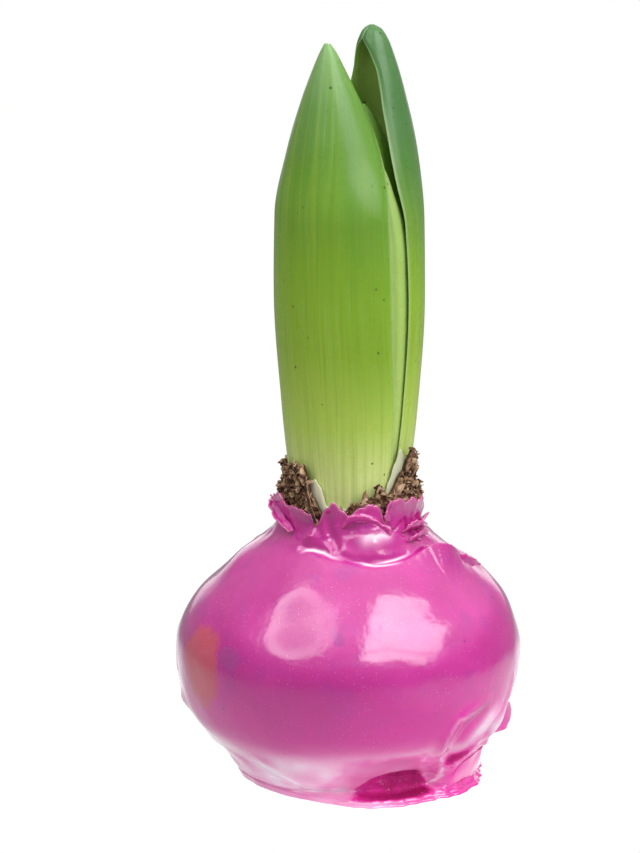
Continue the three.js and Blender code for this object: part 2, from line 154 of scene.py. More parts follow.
class Value:
    """A socket in a node tree. Arithmetic with it adds Math nodes, and node() adds any other node."""

    def __init__(self, tree, socket=None):
        self.tree = tree
        self.socket = socket

    def node(self, kind, inputs, settings=None, stops=None, output=0):
        """One output of a new node. inputs holds numbers, colours or Values, by socket name or number."""
        made = self.tree.nodes.new(kind)
        for name, setting in (settings or {}).items():
            setattr(made, name, setting)
        if stops:
            elements = made.color_ramp.elements
            elements.remove(elements[1])
            elements[0].position, elements[0].color = stops[0][0], (*stops[0][1], 1)
            for position, color in stops[1:]:
                elements.new(position).color = (*color, 1)
        for name, given in inputs.items():
            if isinstance(given, Value):
                self.tree.links.new(given.socket, made.inputs[name])
            else:
                made.inputs[name].default_value = given
        return None if output is None else Value(self.tree, made.outputs[output])

    def math(self, operation, *values):
        """A Math node on the values, or on this one where none are given."""
        return self.node("ShaderNodeMath", dict(enumerate(values or (self,))), {"operation": operation})

    def __add__(self, other):
        return self.math("ADD", self, other)

    def __radd__(self, other):
        return self.math("ADD", other, self)

    def __sub__(self, other):
        return self.math("SUBTRACT", self, other)

    def __rsub__(self, other):
        return self.math("SUBTRACT", other, self)

    def __mul__(self, other):
        return self.math("MULTIPLY", self, other)

    def __rmul__(self, other):
        return self.math("MULTIPLY", other, self)

    def __truediv__(self, other):
        return self.math("DIVIDE", self, other)

    def __rtruediv__(self, other):
        return self.math("DIVIDE", other, self)

    def vector(self, operation, other):
        """Vector Math on this vector and another."""
        return self.node("ShaderNodeVectorMath", {0: self, 1: other}, {"operation": operation})

    def scaled(self, factor):
        return self.node("ShaderNodeVectorMath", {0: self, "Scale": factor}, {"operation": "SCALE"})

    def length(self):
        return self.node("ShaderNodeVectorMath", {0: self}, {"operation": "LENGTH"}, output=1)

    def smooth(self, low, high):
        """0 at low, 1 at high, and a smooth step between them. High may be the smaller."""
        limits = {"Value": self, "From Min": low, "From Max": high}
        return self.node("ShaderNodeMapRange", limits, {"interpolation_type": "SMOOTHSTEP"})

    def noise(self, size, detail=2.0, unit=MM):
        """Noise from 0 to 1, with bumps of about this size in millimetres."""
        inputs = {"Vector": self, "Scale": 1 / (size * unit), "Detail": detail}
        return self.node("ShaderNodeTexNoise", inputs)

    def voronoi(self, size, output=0):
        """Cells of this size in millimetres: the way to a cell's middle, or as output 1 its own colour."""
        return self.node("ShaderNodeTexVoronoi", {"Vector": self, "Scale": 1 / (size * MM)}, output=output)

    def mix(self, first, second):
        """A colour between two, with this value as the share of the second."""
        first, second = [shade if isinstance(shade, Value) else (*shade, 1) for shade in (first, second)]
        return self.node("ShaderNodeMix", {0: self, 6: first, 7: second}, {"data_type": "RGBA"}, output=2)

    def ramp(self, stops):
        """A colour read from stops of (value, colour)."""
        return self.node("ShaderNodeValToRGB", {0: self}, stops=stops)

    def parts(self):
        """This vector's x, y and z."""
        made = self.node("ShaderNodeSeparateXYZ", {0: self}).socket.node
        return [Value(self.tree, output) for output in made.outputs]


def new_material(name):
    """A material's tree, the place in it in metres, and the lay that its mesh carries."""
    made = bpy.data.materials.new(name)
    made.use_nodes = True
    made.node_tree.nodes.clear()
    tree = Value(made.node_tree)
    place = tree.node("ShaderNodeTexCoord", {}, output=3)
    lay = tree.node("ShaderNodeAttribute", {}, {"attribute_name": "lay"}, output=1)
    return made, place, lay


def finish_material(made, inputs, bumps):
    """Ends a material in a Principled BSDF. bumps holds pairs of a height and its scale in millimetres."""
    tree = Value(made.node_tree)
    normal = None
    for height, scale in bumps:
        given = {"Height": height, "Distance": scale * MM}
        if normal:
            given["Normal"] = normal
        normal = tree.node("ShaderNodeBump", given)
    if normal:
        inputs = {**inputs, "Normal": normal}
    shader = tree.node("ShaderNodeBsdfPrincipled", inputs, {"subsurface_method": "RANDOM_WALK"})
    tree.node("ShaderNodeOutputMaterial", {"Surface": shader}, output=None)
    return made


def grow(name, bed, numbers, build):
    """A plain mesh that geometry nodes grow on a bed, which is taken away afterwards. build makes their tree
    from its named inputs, which are the bed and the numbers."""
    tree = bpy.data.node_groups.new(name, "GeometryNodeTree")
    tree.interface.new_socket("bed", in_out="INPUT", socket_type="NodeSocketGeometry")
    tree.interface.new_socket("grown", in_out="OUTPUT", socket_type="NodeSocketGeometry")
    settings = {}
    for key, number in numbers.items():
        kind = "NodeSocketInt" if isinstance(number, int) else "NodeSocketFloat"
        settings[tree.interface.new_socket(key, in_out="INPUT", socket_type=kind).identifier] = number
    start = tree.nodes.new("NodeGroupInput")
    grown = build(**{socket.name: Value(tree, socket) for socket in start.outputs if socket.name})
    tree.links.new(grown.socket, tree.nodes.new("NodeGroupOutput").inputs[0])
    modifier = bed.modifiers.new(name, "NODES")
    modifier.node_group = tree
    for identifier, number in settings.items():
        modifier[identifier] = number
    evaluated = bed.evaluated_get(bpy.context.evaluated_depsgraph_get())
    made = bpy.data.objects.new(name, bpy.data.meshes.new_from_object(evaluated))
    bpy.context.scene.collection.objects.link(made)
    bpy.data.objects.remove(bed)
    made.data.shade_smooth()
    return made


# ---- meshes -----------------------------------------------------------------------------------------


def make_mesh(name, body):
    """An object from a body: its points in millimetres, its faces and its lay."""
    points, faces, lay = body
    mesh = bpy.data.meshes.new(name)
    mesh.from_pydata((points * MM).tolist(), [], faces)
    mesh.shade_smooth()
    mesh.attributes.new("lay", "FLOAT_VECTOR", "POINT").data.foreach_set("vector", np.ravel(lay))
    made = bpy.data.objects.new(name, mesh)
    bpy.context.scene.collection.objects.link(made)
    return made


def quads(first, second):
    """Faces between two rings of point numbers."""
    return np.stack([first, np.roll(first, -1, -1), np.roll(second, -1, -1), second], -1).reshape(-1, 4)


def skin(rows, ends, lay=None):
    """A closed body over rows of points that each go once round. At its ends it has "poles", is a "sheet"
    whose front and back close on each other, or goes round in a "loop". Its faces point outwards."""
    count, columns = rows.shape[:2]
    points = rows.reshape(-1, 3)
    lay = np.zeros_like(points) if lay is None else lay.reshape(-1, 3)
    at = np.arange(count * columns).reshape(count, columns)
    faces = quads(at[:-1], at[1:])
    corner = (points - points.mean(0))[faces]
    volume = np.einsum("ij,ij->", corner[:, 0], np.cross(corner[:, 1], corner[:, 2]))  # minus if inside out
    closing = []
    if ends == "loop":
        closing = quads(at[-1], at[0]).tolist()
    if ends == "poles":
        pole = len(points)
        points = np.vstack([points, rows[0].mean(0), rows[-1].mean(0)])
        lay = np.vstack([lay, lay[at[0]].mean(0), lay[at[-1]].mean(0)])
        closing = [[pole, b, a] for a, b in zip(at[0], np.roll(at[0], -1))]
        closing += [[pole + 1, a, b] for a, b in zip(at[-1], np.roll(at[-1], -1))]
    if ends == "sheet":
        half = columns // 2
        for row, way in ((at[0], -1), (at[-1], 1)):
            front, back = row[:half], row[half:][::-1]
            closing += [list(f)[::way] for f in zip(front, front[1:], back[1:], back)]
    faces = faces.tolist() + [[int(i) for i in face] for face in closing]
    if volume < 0:
        faces = [face[::-1] for face in faces]
    return points, faces, lay


NEVER_ZERO = 1e-9


def blade(middle, half, lay, back_lay=None):
    """A thin closed sheet on a grid of points, with half its thickness at each. back_lay is the lay of its
    back where that isn't the front's."""
    back_lay = lay if back_lay is None else back_lay
    normal = np.cross(np.gradient(middle, axis=1), np.gradient(middle, axis=0))
    length = np.linalg.norm(normal, axis=-1) + NEVER_ZERO
    offset = normal / length[..., None] * half[..., None]
    rows = np.concatenate([middle + offset, (middle - offset)[:, ::-1]], axis=1)
    return skin(rows, "sheet", np.concatenate([lay, back_lay[:, ::-1]], axis=1))


def crowded(count):
    """Numbers from -1 to 1 that crowd towards both ends, where a thin sheet's edge is rounded."""
    return np.sin(np.linspace(-1, 1, count) * math.pi / 2)


# ---- the neck: shoot, scales, tunic and wax, from the inside out --------------------------------------

GAP = 0.3  # between one piece and the next
SHOOT_ROOM = 0.05  # and this much more round the leaves
NECK_SHIFT = 0.3  # how far right of the bulb's middle the neck stands
NECK_TOP = 49
SOCKET_FLOOR = 37.7
SCALE_WALL = 0.62
TUNIC_WALL = 0.7
RIM_SLANT = 0.1  # how much lower the torn rims of wax and scales are on their inside

# A section of a leaf is an arc of a circle: z, centre x, centre y, radius, half-angle.
LEAVES = {
    "leaf_front": dict(
        midrib=-42,
        thick=1.1,
        sections=[
            (38, 0.3, 0, 8.4, 84), (52, 0.3, 0, 10.5, 86), (70, 0.3, 0, 12.55, 83.5),
            (90, 0.1, 0, 13.75, 77.5), (105.6, -0.45, -0.5, 13.05, 80), (117.5, -2, -1.4, 9.25, 102),
            (124.8, -2.85, -2.2, 6.4, 118), (131.8, -3.54, -3, 3.28, 138), (135.6, -3.75, -3.4, 1.5, 148),
            (137.2, -3.9, -3.6, 0.55, 150),
        ],
    ),
    "leaf_back": dict(
        midrib=125,
        thick=1.1,
        shade=1,
        sections=[
            (38, 0.3, 0, 8.35, 78), (52, 0.3, 0, 10.4, 78), (70, 0.35, 0, 12.45, 74),
            (90, 0.3, 0, 13.7, 73), (104.5, 1.15, 0.6, 12.7, 78), (113.3, 2.7, 1.6, 10.4, 91),
            (123.8, 4.3, 2.6, 6.9, 107), (131.6, 4.65, 3, 4.5, 119), (135.2, 4.5, 3.2, 3.45, 140),
            (136.6, 4.45, 3.2, 2.95, 160), (137.4, 4.4, 3.25, 2.6, 177), (138.6, 4.3, 3.3, 1.9, 179),
            (139.7, 4.2, 3.3, 0.5, 179),
        ],
    ),
    "leaf_second": dict(
        midrib=-3,
        thick=0.9,
        fold=43,
        shade=-1,
        sections=[
            (38, 0.3, 0, 6.95, 66), (52, 0.3, 0, 9, 66), (70, 0.3, 0, 11.1, 66), (90, 0.1, 0, 12.2, 66),
            (99, 0, 0, 12, 65.5), (104.2, 0, -0.2, 11.3, 63.5), (111.4, -0.1, -0.5, 9.5, 56),
            (116, -0.5, -0.9, 7.6, 56), (120, -0.9, -1.3, 5, 58), (122.5, -1.1, -1.6, 2.6, 66),
            (123.6, -1.2, -1.7, 0.7, 76),
        ],
    ),
    "leaf_rear": dict(
        midrib=232,
        thick=0.9,
        sections=[
            (38, 0.3, 0, 6.95, 56), (52, 0.3, 0, 9, 56), (70, 0.2, 0, 11.1, 56), (90, 0.1, 0, 12.2, 55),
            (100, -0.2, 0.3, 11.6, 55), (108, -0.8, 0.8, 9.3, 58), (114, -1.4, 1.3, 6.2, 62),
            (118, -1.9, 1.7, 3.2, 70), (120, -2.1, 1.9, 1.4, 85), (120.7, -2.1, 1.9, 0.7, 90),
        ],
    ),
    "leaf_inner": dict(
        midrib=40,
        thick=0.85,
        sections=[
            (38, 0.1, 0.2, 5.8, 60), (52, 0.2, 0.2, 7.8, 60), (70, 0.3, 0.1, 9.8, 62),
            (90, 0.3, 0.1, 10.9, 60), (104, 0.7, 0.5, 9.8, 56), (111.2, 0.9, 0.8, 8.3, 50),
            (117.5, 1.4, 1, 6.1, 60), (121.5, 1.9, 1.1, 3.9, 80), (124.6, 2.2, 0.8, 1.6, 115),
            (125.6, 2.3, 0.7, 0.7, 120),
        ],
    ),
}
LEAF_BASE = 38
MARGIN_THICKNESS = 0.6

# Torn rims: angle, height.
WAX_RIM = [
    (-98, 52.6), (-88, 51), (-78, 53), (-67, 54.7), (-57, 52.8), (-45, 53), (-35, 52.2), (-25, 50.8),
    (-19, 53.4), (-13, 54.8), (-7, 53.6), (-1, 52.2), (7, 53.8), (15, 54.4), (22, 53.8), (28, 51),
    (35, 54.8), (40, 55), (46, 54), (54, 54.6), (63, 53), (73, 53.5), (82, 51.8), (92, 50.6), (104, 52.8),
    (116, 53.6), (127, 51.5), (141, 54.2), (155, 52), (170, 53.6), (185, 51.4), (200, 53.8), (215, 51.8),
    (230, 54.2), (247, 51.6),
]
TUNIC_RIM = [
    (-96, 55), (-84, 57), (-75, 61.3), (-67, 59), (-57, 60.2), (-47, 59.6), (-41, 61), (-37, 58.4),
    (-33.5, 54.2), (-27, 52.8), (-20, 52.6), (-5, 52.7), (3, 53.2), (8, 54.6), (13, 56.8), (18, 55.6),
    (25, 57), (32, 55.6), (39, 57), (46, 58.8), (52, 61.4), (57, 63.2), (63, 62.4), (68, 61.6),
    (73, 58.6), (78, 56), (84, 54.4), (92, 53.8), (105, 54.2), (120, 54.5), (136, 59.5), (150, 57),
    (165, 59.5), (180, 55.2), (195, 58), (210, 60.5), (225, 56), (240, 58.6), (253, 56.5),
]
SCALE_RIM = [
    (-90, 53), (-48, 53), (-39, 56.8), (-33, 58.4), (-28, 57.2), (-22, 53.4), (0, 53), (31, 53.4),
    (37, 58), (42, 61), (47, 63.6), (53, 62), (61, 54), (100, 53.4), (115, 58), (128, 54), (178, 53.2),
    (195, 61), (210, 54), (240, 53),
]


def torn(points, radius, tears):
    """A rim's height at any angle, with small tears between its points: depth, width, seed."""
    listed = around(points)

    def rim(angle):
        ring = polar(angle, radius, 0)
        height = listed(angle)
        for depth, width, seed in tears:
            height = height + depth * ripple(ring, width, seed)
        return height

    return rim


COLLAR_RADIUS = 13.5
wax_rim = torn(WAX_RIM, COLLAR_RADIUS, [(0.12, 1.3, 3), (0.2, 0.5, 4)])
tunic_rim = torn(TUNIC_RIM, 12.5, [(0.5, 1.2, 30), (0.35, 0.5, 31)])
scale_rim = torn(SCALE_RIM, 12, [(0.12, 0.8, 20)])
whole_scale_rim = around(SCALE_RIM)
shoot_radius = through([(section[0], section[3]) for section in LEAVES["leaf_front"]["sections"]])


def neck_shift(z):
    """How far right of the bulb's middle everything in the neck is, which grows from the socket up."""
    return NECK_SHIFT * smooth(SOCKET_FLOOR, NECK_TOP, z)


def scale_inner(z):
    """How near the scales come to the shoot's middle."""
    return shoot_radius(z) + GAP + SHOOT_ROOM


def over_scale(z):
    """How near the tunic comes to the shoot's middle where it lies over the scales."""
    return scale_inner(z) + SCALE_WALL + GAP


def wax_inner(z):
    """How near the wax collar comes to the shoot's middle, before it leans out."""
    return over_scale(z) + TUNIC_WALL + GAP


TIP_ROOM = 7  # degrees that the tunic keeps clear on each side of a scale's tip
LEAN_IN = (1, 4)  # heights over the scales' rim


def tunic_inner(z, angle):
    """The tunic's inner radius: it lies over the scales, and leans in above their rim."""
    sides = np.maximum(whole_scale_rim(angle - TIP_ROOM), whole_scale_rim(angle + TIP_ROOM))
    lean = smooth(*LEAN_IN, z - np.maximum(sides, whole_scale_rim(angle)))
    return over_scale(z) * (1 - lean) + scale_inner(z) * lean


# ---- the wax coat -----------------------------------------------------------------------------------

# The coat's outside and its lining in section, as radius and z, from the middle of the foot to the neck.
WAX_OUTSIDE = [
    (0, 0), (21.6, 0), (22.6, 0.9), (21.8, 1.9), (20.2, 2.4), (21.6, 4), (25.2, 7.6), (29.2, 12),
    (31.5, 18), (32.2, 24.5), (31.2, 29), (28.6, 33.5), (24.4, 37.8), (20.4, 41.2), (17.6, 43.8),
    (15.4, 45.8), (13.7, 47.8), (13.4, 49.3), (13.5, 50.9), (13.8, 52.6),
]
WAX_LINING = [
    (0, 2), (16.2, 2.7), (20.4, 5.2), (24.9, 9.6), (28.8, 14.9), (30.5, 21.5), (30.3, 26.1), (27.8, 31.6),
    (22.8, 36.8), (17.4, 41.2), (15.8, 43.6), (13.95, 45.55), (12.7, 47.5),
]
WAX_FLANK = WAX_OUTSIDE[4:]
RIM_START = 47.8  # from here up the collar's points follow the torn rim
RIM_LEVEL = WAX_OUTSIDE[-1][1]
WAX_COLUMNS = 384
LINING_ROWS = 30
COLLAR_ROWS = 9

# How far apart the rows of the coat's mesh lie at each height.
ROW_SPACING = [
    (0, 2), (0.3, 0.4), (1, 0.23), (5, 0.28), (12, 0.4), (19, 0.6), (34, 0.6), (40, 0.34), (44, 0.21),
    (53, 0.2),
]

# The foot is a round puddle beside the bulb's middle.
FOOT = dict(radius=22.6, right=2.45, forward=0.5, top=2.2, fade=4.5)
# How far the foot runs out at each angle, past its circle.
FOOT_RUNS = [
    (-120, 0.1), (-100, 0.2), (-80, -0.3), (-60, -1), (-40, -1.4), (-22, -1.3), (-8, -0.6), (2, 0.4),
    (12, 0.8), (24, 0.9), (36, 0.1), (46, 0.5), (56, 0.9), (66, 0.4), (78, -0.5), (92, -0.6), (110, -0.2),
    (140, -1), (180, -0.3), (215, -1.2),
]
# Wax that hangs straight down to the foot: its angles, its radius at the floor, how that grows with height,
# and its heights. Under the low roll the foot's edge is as thick as a slab.
SKIRT = dict(start=41, end=101, ease=9, radius=24.6, slope=0.17, bottom=1.3, top=10)
LOW_ROLL = dict(start=-128, end=6, ease=22, radius=19.5, slope=0.72, bottom=1.2, top=8)
SLAB = dict(out=0.2, slope=0.5, thick=1.3, top=2.2)

# Rolls, lips, dents and runs of wax: angle, z, half-angle, half-height, rise along the surface's normal.
WAX_LUMPS = [
    # The shoulder, the roll before the neck, and the lips beside and behind it.
    (-27, 40.6, 21, 3.4, 0.7), (27, 40.6, 21, 3.4, 0.7), (17, 47.8, 24, 2.5, 2.2), (-29, 47.8, 9, 1.5, 0.7),
    (92, 35.3, 26, 4.4, 0.95), (100, 39.4, 7, 2.6, 0.9), (-88, 41.5, 22, 2.3, 0.7),
    (-128, 41.5, 12, 1.4, 1.0), (172, 41.6, 15, 1.3, 1.7), (150, 46.6, 16, 2, 1.8), (-150, 46.9, 18, 2, 2.1),
    # The belly's low swells and hollows.
    (-90, 24, 14, 5, -0.1), (-16, 27, 20, 8, 0.45), (30, 24, 16, 8, -0.35), (-60, 22, 20, 9, -0.4),
    (66, 28, 18, 8, 0.4), (120, 20, 24, 10, -0.5), (-125, 26, 24, 9, 0.5), (165, 30, 22, 8, 0.45),
    (-170, 17, 22, 8, -0.45),
    # The skirt's folds, the pocket under the front, and runs down to the foot.
    (84, 10.6, 7, 2.2, 1.1), (63, 14, 7, 5, 0.8), (50, 9, 4.5, 3.6, 1.1), (76, 7, 5, 3, 0.6),
    (24, 3.2, 12, 1.7, -1.3), (-92, 7, 16, 2.6, 1.2), (-90, 14.2, 9, 2, 1.0), (135, 6, 9, 4, 1.2),
    (-140, 5, 11, 3, 1.3), (178, 9, 8, 5, 0.9),
]

# Ripples in the wax: height, size, seed.
WAX_RIPPLES = [(0.06, 10, 5), (0.035, 4, 6)]
NECK_RIPPLES = (0.08, 1.8, 8)
RUN_RIPPLES = (0.15, 3, 9)
EDGE_RIPPLES = (0.3, 3, 10)
FINE_EDGE_RIPPLES = (0.16, 0.9, 11)
LOBE_RIPPLES = (0.06, 2, 12)
WAX_SETTLED = 0.16  # the surface lies this far inside its section, to leave the ripples room

# Heights over which something comes in.
FOOT_FLAT = (0.9, 3)
NECK_ROUGH = (43.5, 47)
LOBES_LEAN = (49, 55)
LOBES_RIPPLE = (48.5, 51)

# Creases and runs: half-width, then (angle, z, rise) along the line.
CREASES = [
    # Round the neck.
    (0.9, [(-17.5, 52.3, -0.3), (-16, 50.9, -0.5), (-15, 49.4, -0.6), (-13, 47.8, -0.7), (-9, 46.4, -0.4)]),
    (0.6, [(-22, 52, 0.2), (-20.5, 50, 0.4), (-19, 48.3, 0.3)]),
    (0.7, [(-36, 46, -0.1), (-31.4, 46.2, -0.45), (-24.8, 46.2, -0.5), (-18, 45.8, -0.5), (-10, 45, -0.2)]),
    (0.8, [
        (-10, 46, -0.2), (-5, 45.2, -0.35), (2, 44.7, -0.5), (9, 44.4, -0.7), (16, 44.2, -0.8),
        (24, 44.3, -0.7), (32, 44.5, -0.5), (40, 44.8, -0.2),
    ]),
    (1.1, [(-33.2, 47.2, 0.4), (-28, 48.8, 0.8), (-25, 49.6, 0.3)]),
    (0.3, [(27, 50.7, -0.2), (34, 49.2, -0.5), (44, 47.6, -0.2)]),
    (0.3, [(43, 50.2, -0.2), (35, 49, -0.5), (27.5, 48.1, -0.2)]),
    (0.25, [(19.5, 49.5, -0.3), (18, 48.1, -0.6), (17.1, 47, -0.3)]),
    (0.4, [(47, 50.5, -0.2), (53, 48, -0.5), (60, 46.4, -0.3)]),
    (0.5, [(58, 50.8, 0.2), (62, 48.2, 0.6), (71, 46, 0.3)]),
    # In the skirt.
    (1.3, [
        (54, 19, 0.15), (46, 18.2, 0.4), (40.6, 16.7, 0.7), (37.5, 12.9, 0.8), (37, 9.8, 0.7),
        (39, 6.7, 0.4),
    ]),
    (1.2, [(52, 17, -0.2), (46, 14.5, -0.5), (43, 11, -0.6), (44, 8, -0.4)]),
    (0.9, [(62.7, 17, 0.2), (57.2, 14.5, 0.7), (52.5, 11, 0.9), (50.9, 8.5, 0.8), (49, 6.5, 0.5)]),
    (1.0, [(68, 17, -0.3), (63, 13, -0.6), (59, 10, -0.6), (57, 8.5, -0.4)]),
    (0.8, [(72, 21, 0.2), (69, 17, 0.6), (66, 13.5, 0.9), (63, 10.5, 0.8), (60, 9, 0.5)]),
    (0.35, [(43.2, 8.3, 0.3), (45.6, 5.8, 0.6), (44.6, 4, 0.7), (41, 3, 0.6), (38.6, 2.4, 0.4)]),
    (0.5, [(48.6, 5.8, -0.4), (55.9, 6.9, -1), (64.8, 7.1, -1), (76, 7.1, -0.6), (90, 7.4, -0.3)]),
    # Over the foot on the left, and round the back.
    (1.4, [(-42, 8, 0.1), (-38, 7, 0.4), (-30, 5.6, 0.5), (-21, 4, 0.5), (-9, 3, 0.3)]),
    (0.45, [(-39.6, 3.4, -0.3), (-35.5, 3, -0.6), (-29.7, 2.7, -0.3)]),
    (0.9, [(-110, 30, 0.05), (-96, 26, 0.15), (-90, 20, 0.3), (-94, 15, 0.3)]),
    (1.2, [(118, 34, 0.2), (126, 24, 0.6), (131, 13, 0.7), (128, 6, 0.5)]),
    (1.1, [(-146, 22, 0.2), (-151, 14, 0.6), (-147, 7, 0.6)]),
    (0.8, [(160, 24, 0.1), (171, 15, 0.6), (175, 8, 0.6)]),
]

# The top edge of the pocket under the front, with the pocket on its left: angle, z, rise.
POCKET_EDGE = [
    (42, 2, -0.2), (40, 3.2, -0.6), (37, 4.4, -0.9), (31, 5.7, -1.1), (25, 6.1, -1.1), (19, 5.9, -1.1),
    (14, 5.1, -1), (10, 3.9, -0.8), (5, 2.8, -0.5), (0, 1.9, -0.25), (-6, 1.1, 0),
]

# Where wax ran over wax already set: the edge's half-width, how far back it reaches, then (angle, z, rise)
# along the edge, with the raised side on its left.
LAPS = [
    # The roll before the neck, and the lip on the right shoulder.
    (0.3, 5, [
        (32, 49.2, 0.4), (22, 50.9, 0.9), (15, 52, 1.1), (8, 52.7, 1.1), (0, 52.4, 1), (-6, 50.8, 0.3),
    ]),
    (0.6, 9, [
        (96, 40.6, 0.2), (88, 41.6, 0.8), (82, 42.7, 1.8), (76, 43.6, 2.5), (70, 44.2, 2.7),
        (63, 44.9, 2.4), (56, 45.1, 1.7), (49, 44.9, 1), (42, 44.6, 0.5), (34, 44.3, 0.1),
    ]),
    # The skirt over the foot, and the pocket.
    (0.3, 3, [
        (47, 4.6, 0.2), (51, 6, 0.8), (57, 7, 1.3), (66, 7.4, 1.6), (78, 7.6, 1.5), (90, 8.4, 0.8),
        (98, 9, 0.2),
    ]),
    (0.35, 6, POCKET_EDGE),
    # Behind the neck.
    (0.35, 3, [(122, 44.6, 0.1), (138, 44.2, 1.1), (158, 44.4, 1.2), (176, 45.2, 0.3)]),
    (0.35, 3, [(-178, 44.8, 0.2), (-160, 44, 1.2), (-140, 44.2, 1.1), (-122, 45, 0.2)]),
]

foot_runs = around(FOOT_RUNS)


def foot_radius(angle):
    """How far the foot reaches from the bulb's middle."""
    a = np.radians(angle)
    along = FOOT["right"] * np.sin(a) + FOOT["forward"] * np.cos(a)
    aside = FOOT["right"] * np.cos(a) - FOOT["forward"] * np.sin(a)
    return along + np.sqrt(FOOT["radius"] ** 2 - aside**2) + foot_runs(angle)


def ripples(place, kind):
    """One of the listed ripples at each place."""
    height, size, seed = kind
    return height * ripple(place, size, seed)


def to_rim(z, rim):
    """Moves a collar point up or down, so that the rim of the section lies at the torn one."""
    stretch = (rim - RIM_START) / (RIM_LEVEL - RIM_START)
    return np.where(z <= RIM_START, z, RIM_START + (z - RIM_START) * stretch)


def section_stops(section):
    """Where along the section to put rows, as fractions of its stretches."""
    heights, spacings = zip(*ROW_SPACING)
    stops = []
    for i, ((r0, z0), (r1, z1)) in enumerate(zip(section, section[1:])):
        spacing = np.interp((z0 + z1) / 2, heights, spacings)
        count = max(1, round(math.hypot(r1 - r0, z1 - z0) / float(spacing)))
        stops += [i + k / count for k in range(count)]
    return np.array(stops[1:] + [len(section) - 1.0])


def wax_radius(z):
    """The radius of the coat's plain flank at a height."""
    r, height = zip(*WAX_FLANK)
    return np.interp(z, height, r)


def wax_climb(z):
    """The way up along the coat's flank to a height."""
    r, height = np.array(WAX_FLANK, float).T
    climb = np.interp(z, height, np.r_[0, np.cumsum(np.hypot(np.diff(r), np.diff(height)))])
    return climb + np.maximum(z - RIM_LEVEL, 0)


def from_line(angle, climb, line, fade):
    """For each point of the wax: its distance from a line, on which side of the line it is (1 is left), and
    the line's rise there, which fades past the line's ends."""
    nearest = np.full(angle.shape, np.inf)
    left = np.zeros(angle.shape)
    rise = np.zeros(angle.shape)
    for i, ((a0, z0, h0), (a1, z1, h1)) in enumerate(zip(line, line[1:])):
        radius = wax_radius((z0 + z1) / 2)
        dx, dy = math.radians(a1 - a0) * radius, wax_climb(z1) - wax_climb(z0)
        length = math.hypot(dx, dy)
        x, y = np.radians(turn(a0, angle)) * radius, climb - wax_climb(z0)
        along, side = (x * dx + y * dy) / length, (y * dx - x * dy) / length
        t = np.clip(along / length, 0, 1)
        away = np.hypot(along - t * length, side)
        past = np.maximum(-along, 0) * (i == 0) + np.maximum(along - length, 0) * (i == len(line) - 2)
        closer = away < nearest
        nearest = np.where(closer, away, nearest)
        left = np.where(closer, np.sign(side), left)
        rise = np.where(closer, (h0 + (h1 - h0) * t) * bell(past / fade), rise)
    return nearest, left, rise


LINE_FADE = 0.8
LAP_FADE = 0.12  # of the lap's reach


def line_rises(angle, climb):
    """How far the creases and the laps raise the wax."""
    angle, climb = np.broadcast_arrays(angle, climb)
    total = np.zeros(angle.shape)
    for width, line in CREASES:
        away, _, rise = from_line(angle, climb, line, LINE_FADE)
        total = total + rise * bell(away / width)
    for width, reach, line in LAPS:
        away, left, rise = from_line(angle, climb, line, LAP_FADE * reach)
        behind = away * left
        edge = np.clip(0.5 + 0.5 * behind / width, 0, 1) ** 2
        total = total + rise * edge * np.clip(1 - behind / reach, 0, 1) ** 1.5
    return total


def wax_rise(angle, z, place, rim):
    """How far the wax stands out of its section."""
    rise = line_rises(angle, wax_climb(to_rim(z, rim))) - WAX_SETTLED
    for lump_angle, lump_z, half_angle, half_height, height in WAX_LUMPS:
        rise = rise + height * bell(turn(lump_angle, angle) / half_angle) * bell((z - lump_z) / half_height)
    for kind in WAX_RIPPLES:
        rise = rise + ripples(place, kind)
    rise = rise + ripples(place, NECK_RIPPLES) * smooth(*NECK_ROUGH, z)
    return rise * smooth(*FOOT_FLAT, z)


def runs_here(run, angle):
    """1 between a run's ends, and easing to 0 at each."""
    started = smooth(run["start"], run["start"] + run["ease"], angle)
    return started * (1 - smooth(run["end"] - run["ease"], run["end"], angle))


RUN_COMES_IN = 0.9  # of height above a run's bottom
RUN_GOES_OUT = 2  # and below its top


def with_runs(r, angle, z, place):
    """The coat's radius with the skirt, the low roll and the slab under it."""
    for run in (SKIRT, LOW_ROLL):
        straight = run["radius"] + run["slope"] * z + ripples(place, RUN_RIPPLES)
        height = smooth(run["bottom"], run["bottom"] + RUN_COMES_IN, z)
        height = height * (1 - smooth(run["top"] - RUN_GOES_OUT, run["top"], z))
        r = r + runs_here(run, angle) * height * np.maximum(0, straight - r)
    slab = foot_radius(angle) + SLAB["out"] + SLAB["slope"] * z
    height = smooth(0, 0.1, z) * (1 - smooth(SLAB["thick"], SLAB["top"], z))
    return r + runs_here(LOW_ROLL, angle) * height * (slab - r)


# The foot's torn edge: its least share, then the angles, radii and heights where it comes in and goes out.
FOOT_RAGS = dict(least=0.12, start=(-8, 4), end=(105, 125), radius=(20, 22), top=(1.5, 3))


def foot_rags(angle, radius, z):
    """How far the foot's edge is torn in and out. It is nearly even round the left and the back."""
    front = smooth(*FOOT_RAGS["start"], angle) * (1 - smooth(*FOOT_RAGS["end"], angle))
    share = FOOT_RAGS["least"] + (1 - FOOT_RAGS["least"]) * front
    share = share * smooth(*FOOT_RAGS["radius"], radius) * (1 - smooth(*FOOT_RAGS["top"], z))
    edge = FOOT_RAGS["radius"][1]
    coarse = ripples(polar(angle, edge, 0), EDGE_RIPPLES)
    fine = ripples(polar(angle, edge, z), FINE_EDGE_RIPPLES)
    return share * (coarse + fine)


NEARBY = 0.01  # of a stretch of the section


